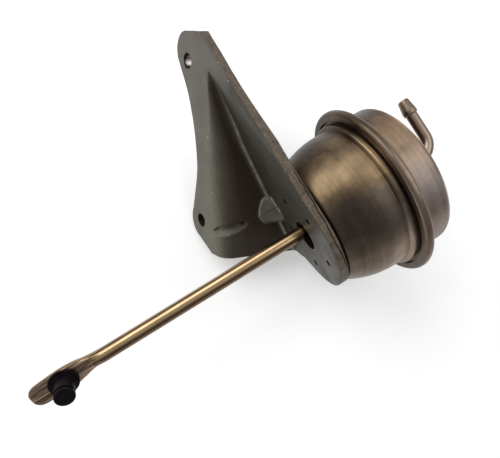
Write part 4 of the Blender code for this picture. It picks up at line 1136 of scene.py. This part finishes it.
def closeShell():
    bpy.ops.mesh.select_all(action="SELECT")
    bpy.ops.mesh.remove_doubles(threshold=0.00001)
    bpy.ops.mesh.normals_make_consistent(inside=False)
    bpy.ops.object.mode_set(mode="OBJECT")


def turnProfile(name, profile, sides, material):
    # draws a closed profile of (x, r) round the rod's axis, ring by ring
    piece = startRing(name, *profile[0], sides)
    pullThrough(profile[0], profile[1:] + profile[:1])
    closeShell()
    piece.data.materials.append(material)
    return piece


canShape = {
    "sheet": 0.8 * mm,
    "front": 4.5 * mm,
    "back": 33.6 * mm,
    "radius": 31.9 * mm,
    "taper": 5.4 * mm,
    "taperLength": 19.5 * mm,
    "frontCorner": 1.8 * mm,
    "hole": 4.6 * mm,
    "bead": (33.6 * mm, 2.4 * mm, 1.8 * mm),  # radius, width, setback from the flange
    "recess": 32.7 * mm,
    "flange": 37.2 * mm,
    "taperSteps": 14,
    "sides": 160,
}


def buildSpringCan():
    half = canShape["sheet"] / 2
    floor, back = canShape["front"] + half, canShape["back"] - half
    wall, recess = canShape["radius"] - half, canShape["recess"] - half
    bead, width, setback = canShape["bead"]
    corners = [(floor, canShape["hole"], 0), (floor, wall - canShape["taper"], canShape["frontCorner"])]
    for k in range(2, canShape["taperSteps"] + 1):
        share = k / canShape["taperSteps"]
        x = floor + canShape["taperLength"] * share
        corners.append((x, wall - canShape["taper"] * (1 - share) ** 2, 0))
    end = back - setback
    corners += [
        (end - width, wall, 0.4 * mm), (end - width * 0.72, bead - half, 0.7 * mm),
        (end, bead - half, 0.6 * mm), (end + 0.8 * mm, recess, 0.3 * mm),
        (back, recess, 0.5 * mm), (back, canShape["flange"], 0),
    ]
    profile = sheetProfile(roundCorners(corners), canShape["sheet"])
    piece = turnProfile("springCan", profile, canShape["sides"], canSteel)
    piece.data.materials.append(channelSteel)
    for face in piece.data.polygons:
        # painted shade in the channel between the bead and the lip
        if face.center.x - rodAxis.x > end + 0.5 * mm:
            face.material_index = 1
    finishPiece(piece, "housing", 40)
    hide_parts("spring_can")


coverShape = {
    "sheet": 0.8 * mm,
    "lip": 32.2 * mm,  # middle of the lip's sheet along the rod
    "flange": 35.1 * mm,
    "rear": 49.6 * mm,
    "radius": 32.0 * mm,
    "rearCorner": 2.8 * mm,
    "neckCorner": 1.0 * mm,
    "hole": 2.9 * mm,
    "crimp": 38.35 * mm,
    "lipReach": 3.4 * mm,
    "crimpCorner": 1.5 * mm,
    "sides": 160,
}


def buildCoverCan():
    half = coverShape["sheet"] / 2
    crimp, wall, rear = coverShape["crimp"] - half, coverShape["radius"] - half, coverShape["rear"] - half
    corner = coverShape["crimpCorner"] - half
    lip, flange = coverShape["lip"], coverShape["flange"]
    corners = [
        (lip, coverShape["crimp"] - coverShape["lipReach"], 0), (lip, crimp, corner),
        (flange, crimp, corner), (flange, wall, coverShape["neckCorner"]),
        (rear, wall, coverShape["rearCorner"] - half), (rear, coverShape["hole"], 0),
    ]
    profile = sheetProfile(roundCorners(corners), coverShape["sheet"])
    piece = turnProfile("coverCan", profile, coverShape["sides"], coverSteel)
    piece.data.materials.append(lipSteel)
    inner = coverShape["radius"] + 0.9 * mm
    for face in piece.data.polygons:
        if (face.center - rodAxis).yz.length > inner:
            face.material_index = 1
    finishPiece(piece, "housing", 40)
    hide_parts("cover_can")


buildSpringCan()
buildCoverCan()
print("can and cover drawn")


flatShape = {
    # x, half width, half thickness, squareness, all seen along the rod
    "stations": (
        (-125.9, 1.9, 0.7, 2.6), (-125.7, 2.6, 0.95, 2.8), (-125.3, 3.2, 1.12, 3.0), (-124.8, 3.75, 1.25, 3.4),
        (-124.2, 4.1, 1.35, 3.8), (-123.3, 4.42, 1.42, 4.2), (-122.3, 4.6, 1.45, 4.4),
        (-120.7, 4.73, 1.45, 4.6), (-119, 4.8, 1.45, 4.6), (-115.5, 4.98, 1.45, 4.6), (-112, 5.05, 1.45, 4.6),
        (-110, 4.96, 1.45, 4.6), (-108.5, 4.82, 1.45, 4.6), (-107.2, 4.66, 1.45, 4.6), (-106, 4.46, 1.45, 4.5),
        (-104.9, 4.24, 1.45, 4.3), (-103.8, 3.98, 1.45, 4.1), (-103.1, 3.78, 1.47, 3.9),
        (-102.4, 3.6, 1.53, 3.7), (-101.6, 3.42, 1.65, 3.5), (-100.8, 3.27, 1.82, 3.2), (-99.9, 3.15, 2.03, 2.9),
        (-99.0, 3.06, 2.26, 2.6), (-98.1, 3.0, 2.48, 2.4), (-97.2, 3.0, 2.68, 2.25), (-96.3, 3.0, 2.84, 2.12),
        (-95.4, 3.0, 2.94, 2.05), (-94.4, 3.0, 3.0, 2)),
    "round": -94.4,  # where the rod is still round
    "riseLength": 7.0,
    "brushedTo": -99.5,
    "pinX": -112.4 * mm,
    "turn": math.radians(122),  # direction of the pin round the rod
    "lean": math.radians(4),
    "rise": 0.25 * mm,
}
rodShape = {
    "radius": 3.0 * mm,
    # x, radius: shoulder, spigot and riveted head inside the can
    "innerEnd": (
        (37.06, 3.0), (37.36, 2.7), (37.36, 2.3), (42.9, 2.3), (42.9, 4.2), (43.8, 3.62), (44.4, 1.9)),
    "length": (-90, -60, -30, 0, 30),  # rings along the round part
    "tenonHole": 2.8 * mm,
    "sides": 64,
}
pinOut = Vector((0, math.cos(flatShape["turn"]), math.sin(flatShape["turn"])))
pinAxis = Vector((math.sin(flatShape["lean"]), *(pinOut.yz * math.cos(flatShape["lean"]))))
pinPlace = rodAxis + Vector((flatShape["pinX"], 0, 0)) + pinOut * flatShape["rise"]


def pressFlat(piece):
    # the ring at each station is squeezed from round to a rounded oblong
    wide = Vector((0, -pinOut.z, pinOut.y))
    stations = {round(station[0], 2): station for station in flatShape["stations"]}
    for point in piece.data.vertices:
        offset = point.co - rodAxis
        station = stations.get(round(offset.x / mm, 2))
        if not station:
            continue
        x, width, thick, square = station
        turn = math.atan2(offset.dot(pinOut), offset.dot(wide))
        reach = rodShape["radius"] / mm
        depth = min(1.0, offset.yz.length / mm / reach)  # keeps the inset ring of the end inside
        w = math.copysign(abs(math.cos(turn)) ** (2 / square), math.cos(turn)) * width * depth
        t = math.copysign(abs(math.sin(turn)) ** (2 / square), math.sin(turn)) * thick * depth
        rise = (flatShape["pinX"] / mm - x) * math.tan(flatShape["lean"]) + flatShape["rise"] / mm
        rise *= softStep((flatShape["round"] - x) / flatShape["riseLength"])
        point.co = rodAxis + Vector((offset.x, 0, 0)) + (wide * w + pinOut * (t + rise)) * mm


def selectRim(piece, outside):
    # selects the edges whose ends both pass a test on their place, then goes back into edit mode
    bpy.ops.object.mode_set(mode="EDIT")
    bpy.ops.mesh.select_mode(type="EDGE")
    bpy.ops.mesh.select_all(action="DESELECT")
    bpy.ops.object.mode_set(mode="OBJECT")
    for edge in piece.data.edges:
        if all(outside(piece.data.vertices[v].co) for v in edge.vertices):
            edge.select = True
    bpy.ops.object.mode_set(mode="EDIT")


def buildRod():
    radius = rodShape["radius"]
    xs = [station[0] * mm for station in flatShape["stations"]] + [x * mm for x in rodShape["length"]]
    piece = startRing("actuatorRod", xs[0], radius, rodShape["sides"])
    bpy.ops.mesh.edge_face_add()
    bpy.ops.mesh.inset(thickness=0.6 * mm, use_even_offset=True)
    bpy.ops.mesh.poke()
    # the rim is taken up again and pulled along the rod
    selectRim(piece, lambda place: (place - rodAxis).yz.length > radius * 0.98)
    stations = [(x, radius) for x in xs[1:]] + [(x * mm, r * mm) for x, r in rodShape["innerEnd"]]
    pullThrough((xs[0], radius), stations)
    bpy.ops.mesh.edge_face_add()
    bpy.ops.mesh.poke()
    closeShell()
    pressFlat(piece)
    piece.data.materials.append(polishedRod)
    piece.data.materials.append(brushedFlat)
    for face in piece.data.polygons:
        # the flat's two broad sides are brushed, its rim stays smooth
        onFlat = face.center.x - rodAxis.x < flatShape["brushedTo"] * mm
        if onFlat and abs(face.normal.dot(pinOut)) > 0.6:
            face.material_index = 1
    cutAway(piece, addCutter(pinPlace, pinAxis, rodShape["tenonHole"], -5 * mm, 5 * mm))
    finishPiece(piece, "rod", 38)
    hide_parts("actuator_rod")


pinShape = {
    "radius": 3.9 * mm,
    "end": 11.1 * mm,
    "chamfer": 0.35 * mm,
    "collar": (5.9 * mm, 2.75 * mm),  # radius, top
    "step": (4.8 * mm, 3.5 * mm),
    "groove": (1.1 * mm, 0.6 * mm, 1.3 * mm),  # width, depth, distance from the end
    "face": 1.75 * mm,  # the collar's underside, from the rod's axis
    "tenon": 2.5 * mm,
    "rivet": (3.7 * mm, 1.1 * mm),
    "sides": 72,
}


def buildPin():
    # stations (distance, radius) up the pin, from the rivet's middle to the end face
    radius, end, chamfer = pinShape["radius"], pinShape["end"], pinShape["chamfer"]
    (collar, collarTop), (step, stepTop) = pinShape["collar"], pinShape["step"]
    width, depth, setback = pinShape["groove"]
    rivet, rivetHigh = pinShape["rivet"]
    face, tenon, land = pinShape["face"], pinShape["tenon"], end - setback
    domeTurns = [math.radians(20 + 70 * k / 6) for k in range(6, -1, -1)]
    stations = [(-face - rivetHigh * math.sin(t), rivet * max(math.cos(t), 0.12)) for t in domeTurns]
    stations += [
        (-face, rivet), (-face, tenon), (face, tenon), (face, collar - 0.25 * mm), (face + 0.2 * mm, collar),
        (collarTop - 0.3 * mm, collar), (collarTop - 0.1 * mm, collar - 0.1 * mm),
        (collarTop, collar - 0.3 * mm), (collarTop, step), (stepTop - 0.15 * mm, step - 0.05 * mm),
        (stepTop, step - 0.25 * mm), (stepTop, radius + 0.15 * mm), (stepTop + 0.15 * mm, radius),
        (land - width - 0.12 * mm, radius), (land - width, radius - 0.12 * mm),
        (land - width, radius - depth), (land, radius - depth),
        (land, radius - 0.12 * mm), (land + 0.12 * mm, radius), (end - chamfer, radius),
        (end - 0.1 * mm, radius - chamfer * 0.6), (end, radius - chamfer * 1.4), (end, radius * 0.5),
    ]
    deselectAll()
    bpy.ops.mesh.primitive_circle_add(
        vertices=pinShape["sides"], radius=stations[0][1], location=(0, 0, stations[0][0]), fill_type="NGON")
    piece = bpy.context.active_object
    piece.name = "pivotPin"
    bpy.ops.object.transform_apply(location=True, rotation=False, scale=False)
    bpy.ops.object.mode_set(mode="EDIT")
    bpy.ops.mesh.select_mode(type="EDGE")
    bpy.ops.mesh.select_all(action="SELECT")
    bpy.ops.mesh.poke()
    selectRim(piece, lambda place: place.xy.length > stations[0][1] * 0.98)
    pullThrough(stations[0], stations[1:], (0, 0, 0), 2)
    bpy.ops.mesh.edge_face_add()
    bpy.ops.mesh.poke()
    closeShell()
    piece.matrix_world = Matrix.Translation(pinPlace) @ pinAxis.to_track_quat("Z", "X").to_matrix().to_4x4()
    piece.data.materials.append(blackPin)
    finishPiece(piece, "rod", 35)
    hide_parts("pivot_pin")


buildRod()
buildPin()
print("rod pressed and pin riveted")


nippleShape = {
    "radius": 2.6 * mm,
    "bore": 1.7 * mm,
    "root": 49.9 * mm,  # just off the cover's rear face
    "inside": 47.7 * mm,
    "rise": 20.1 * mm,
    "bend": 8.0 * mm,
    "reach": 26.4 * mm,
    "collar": (4.4 * mm, 1.5 * mm),
    "swage": 3.8 * mm,
    # y and radius up to the tip
    "barb": ((19.0, 2.6), (19.12, 2.75), (19.2, 3.0), (19.35, 3.15), (19.6, 3.2), (20.8, 3.2), (21.3, 3.16),
             (22.5, 2.98), (24.5, 2.66), (25.7, 2.48), (26.1, 2.36), (26.32, 2.2), (26.4, 2.0)),
    "bendSteps": 16,
    "sides": 48,
}


def turnRing(pivot, degrees):
    # carries the selected ring round the bend in even steps; transform.rotate turns the other way here
    angle = -math.radians(degrees / nippleShape["bendSteps"])
    for _ in range(nippleShape["bendSteps"]):
        bpy.ops.mesh.extrude_region_move()
        bpy.ops.transform.rotate(
            value=angle, orient_axis="Z", orient_type="GLOBAL", center_override=pivot)


def buildNipple():
    s = nippleShape
    root, bend, bore = s["root"], s["bend"], s["bore"]
    (collar, collarHigh), swage = s["collar"], s["swage"]
    bendX = root + s["rise"] - bend
    piece = startRing("hoseNipple", s["inside"], bore, s["sides"])
    foot = root - 1.4 * mm
    stations = [
        (s["inside"], swage - 0.2 * mm), (s["inside"] + 0.2 * mm, swage), (foot, swage), (foot, s["radius"]),
        (root, s["radius"]), (root, collar - 0.15 * mm), (root + 0.15 * mm, collar),
        (root + collarHigh * 0.6, collar), (root + collarHigh * 0.85, collar - 0.2 * mm),
        (root + collarHigh, collar - 0.6 * mm), (root + collarHigh, s["radius"] + 0.2 * mm),
        (root + collarHigh + 0.2 * mm, s["radius"]), (bendX, s["radius"])]
    pullThrough((s["inside"], bore), stations)
    pivot = rodAxis + Vector((bendX, bend, 0))
    turnRing(pivot, 90)
    # up to the tip over the barb, and back down through the bore
    outer = [(y * mm, r * mm) for y, r in s["barb"]]
    tipAxis = rodAxis + Vector((bendX + bend, 0, 0))
    pullThrough((bend, s["radius"]), outer + [(s["reach"], bore), (bend, bore)], tipAxis, 1)
    turnRing(pivot, -90)
    pullThrough((bendX, bore), [(s["inside"], bore)])
    closeShell()
    piece.data.materials.append(tubeSteel)
    finishPiece(piece, "housing", 40)
    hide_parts("hose_nipple")


buildNipple()
print("nipple bent")


springShape = {
    "endTurn": 3 * mm,  # the turns at both ends stay flat
    "smoothing": 60,
}


def buildSpring():
    # the coil, its front end on the seat and its rear end on the piston
    piece = bpy.data.objects.new("returnSpring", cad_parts["return_spring"].data.copy())
    bpy.context.scene.collection.objects.link(piece)
    makeActive(piece)
    bpy.ops.object.mode_set(mode="EDIT")
    closeShell()
    bpy.ops.object.shade_smooth_by_angle(angle=math.radians(springShape["smoothing"]))
    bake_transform(piece)
    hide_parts("return_spring")


buildSpring()
print("spring seated")


studio = {
    "floorGap": 0.0015,  # below the lowest point of the part
    "floorColour": 0.93,
    "floorGlow": 0.30,
    "floorFar": (0.8, 0.2, 0.9),  # extra glow, and from where to where it rises
    # grey of the surroundings from the near side, over the top, to the far side
    "surround": ((0.0, 0.30), (0.10, 0.36), (0.22, 0.34), (0.34, 0.34), (0.42, 0.36), (0.52, 0.54),
                 (0.70, 0.58), (0.90, 0.38), (1.0, 0.14)),
    # place, power and size of each softbox
    "lamps": {
        "keyLight": ((-0.20, 0.72, 0.67), 5.2, 0.8),
        "sideLight": ((0.42, -0.10, 0.66), 1.7, 0.6),
    },
    "floorSize": 6,
}


def addSoftbox(name, place, power, size, target):
    lamp = bpy.data.objects.new(name, bpy.data.lights.new(name, "AREA"))
    lamp.data.energy = power
    lamp.data.size = size
    lamp.location = place
    lamp.rotation_euler = (target - lamp.location).to_track_quat("-Z", "Y").to_euler()
    bpy.context.scene.collection.objects.link(lamp)


def cameraWhite(tree, colour, glow, farGlow, farFrom, farTo):
    # a diffuse floor, white to the camera and in reflections, also where the lights don't reach
    path = tree.nodes.new("ShaderNodeLightPath")
    seen = mathValue(tree, "MAXIMUM", path.outputs["Is Camera Ray"], path.outputs["Is Glossy Ray"])
    far = tree.nodes.new("ShaderNodeMapRange")
    far.inputs["From Min"].default_value = farFrom
    far.inputs["From Max"].default_value = farTo
    far.inputs["To Max"].default_value = farGlow
    tree.links.new(vectorMath(tree, "LENGTH", objectPoint(tree)), far.inputs["Value"])
    white = times(tree, path.outputs["Is Camera Ray"], far.outputs["Result"])
    diffuse = addNode(tree, "ShaderNodeBsdfDiffuse", Color=(colour, colour, colour, 1))
    glowNode = addNode(tree, "ShaderNodeEmission", Color=(1, 1, 1, 1))
    tree.links.new(mathValue(tree, "ADD", times(tree, seen, glow), white), glowNode.inputs["Strength"])
    both = tree.nodes.new("ShaderNodeAddShader")
    tree.links.new(diffuse.outputs["BSDF"], both.inputs[0])
    tree.links.new(glowNode.outputs["Emission"], both.inputs[1])
    tree.links.new(both.outputs["Shader"], tree.nodes["Material Output"].inputs["Surface"])


def buildStudio():
    low = cadBox[0][2] - studio["floorGap"]
    deselectAll()
    bpy.ops.mesh.primitive_plane_add(size=studio["floorSize"], location=(0, 0, low))
    floor = bpy.context.active_object
    floor.name = "paleFloor"
    material = bpy.data.materials.new("paleFloor")
    material.use_nodes = True
    cameraWhite(material.node_tree, studio["floorColour"], studio["floorGlow"], *studio["floorFar"])
    floor.data.materials.append(material)
    middle = (Vector(cadBox[0]) + Vector(cadBox[1])) / 2
    for name, lamp in studio["lamps"].items():
        addSoftbox(name, *lamp, middle)
    world = bpy.data.worlds.new("studioWorld")
    bpy.context.scene.world = world
    world.use_nodes = True
    tree = world.node_tree
    path = tree.nodes.new("ShaderNodeLightPath")
    axes = splitAxes(tree, tree.nodes.new("ShaderNodeTexCoord").outputs["Generated"])
    along = mathValue(tree, "ADD", times(tree, axes["Y"], 0.5), 0.5)
    surround = ramp(tree, along, studio["surround"])
    colour = mixColour(tree, path.outputs["Is Camera Ray"], surround, (1.0, 1.0, 1.0))
    tree.links.new(colour, tree.nodes["Background"].inputs["Color"])


photoCamera = {
    "centre": (-0.03097, -0.05301, 0.19552),
    "right": (0.84948, -0.52157, 0.07963),
    "up": (0.51281, 0.85169, 0.10790),
    "back": (-0.12409, -0.05082, 0.99097),
    "lens": 31.596,
    "sensor": 36,
    "nearest": 0.005,
}


def buildCamera():
    data = bpy.data.cameras.new("photoCamera")
    data.lens = photoCamera["lens"]
    data.sensor_width = photoCamera["sensor"]
    data.clip_start = photoCamera["nearest"]
    camera = bpy.data.objects.new("photoCamera", data)
    axes = Matrix((photoCamera["right"], photoCamera["up"], photoCamera["back"])).transposed()
    camera.matrix_world = Matrix.Translation(photoCamera["centre"]) @ axes.to_4x4()
    bpy.context.scene.collection.objects.link(camera)
    bpy.context.scene.camera = camera


buildStudio()
buildCamera()
bpy.context.scene.view_settings.view_transform = "Standard"
print("studio and camera placed")
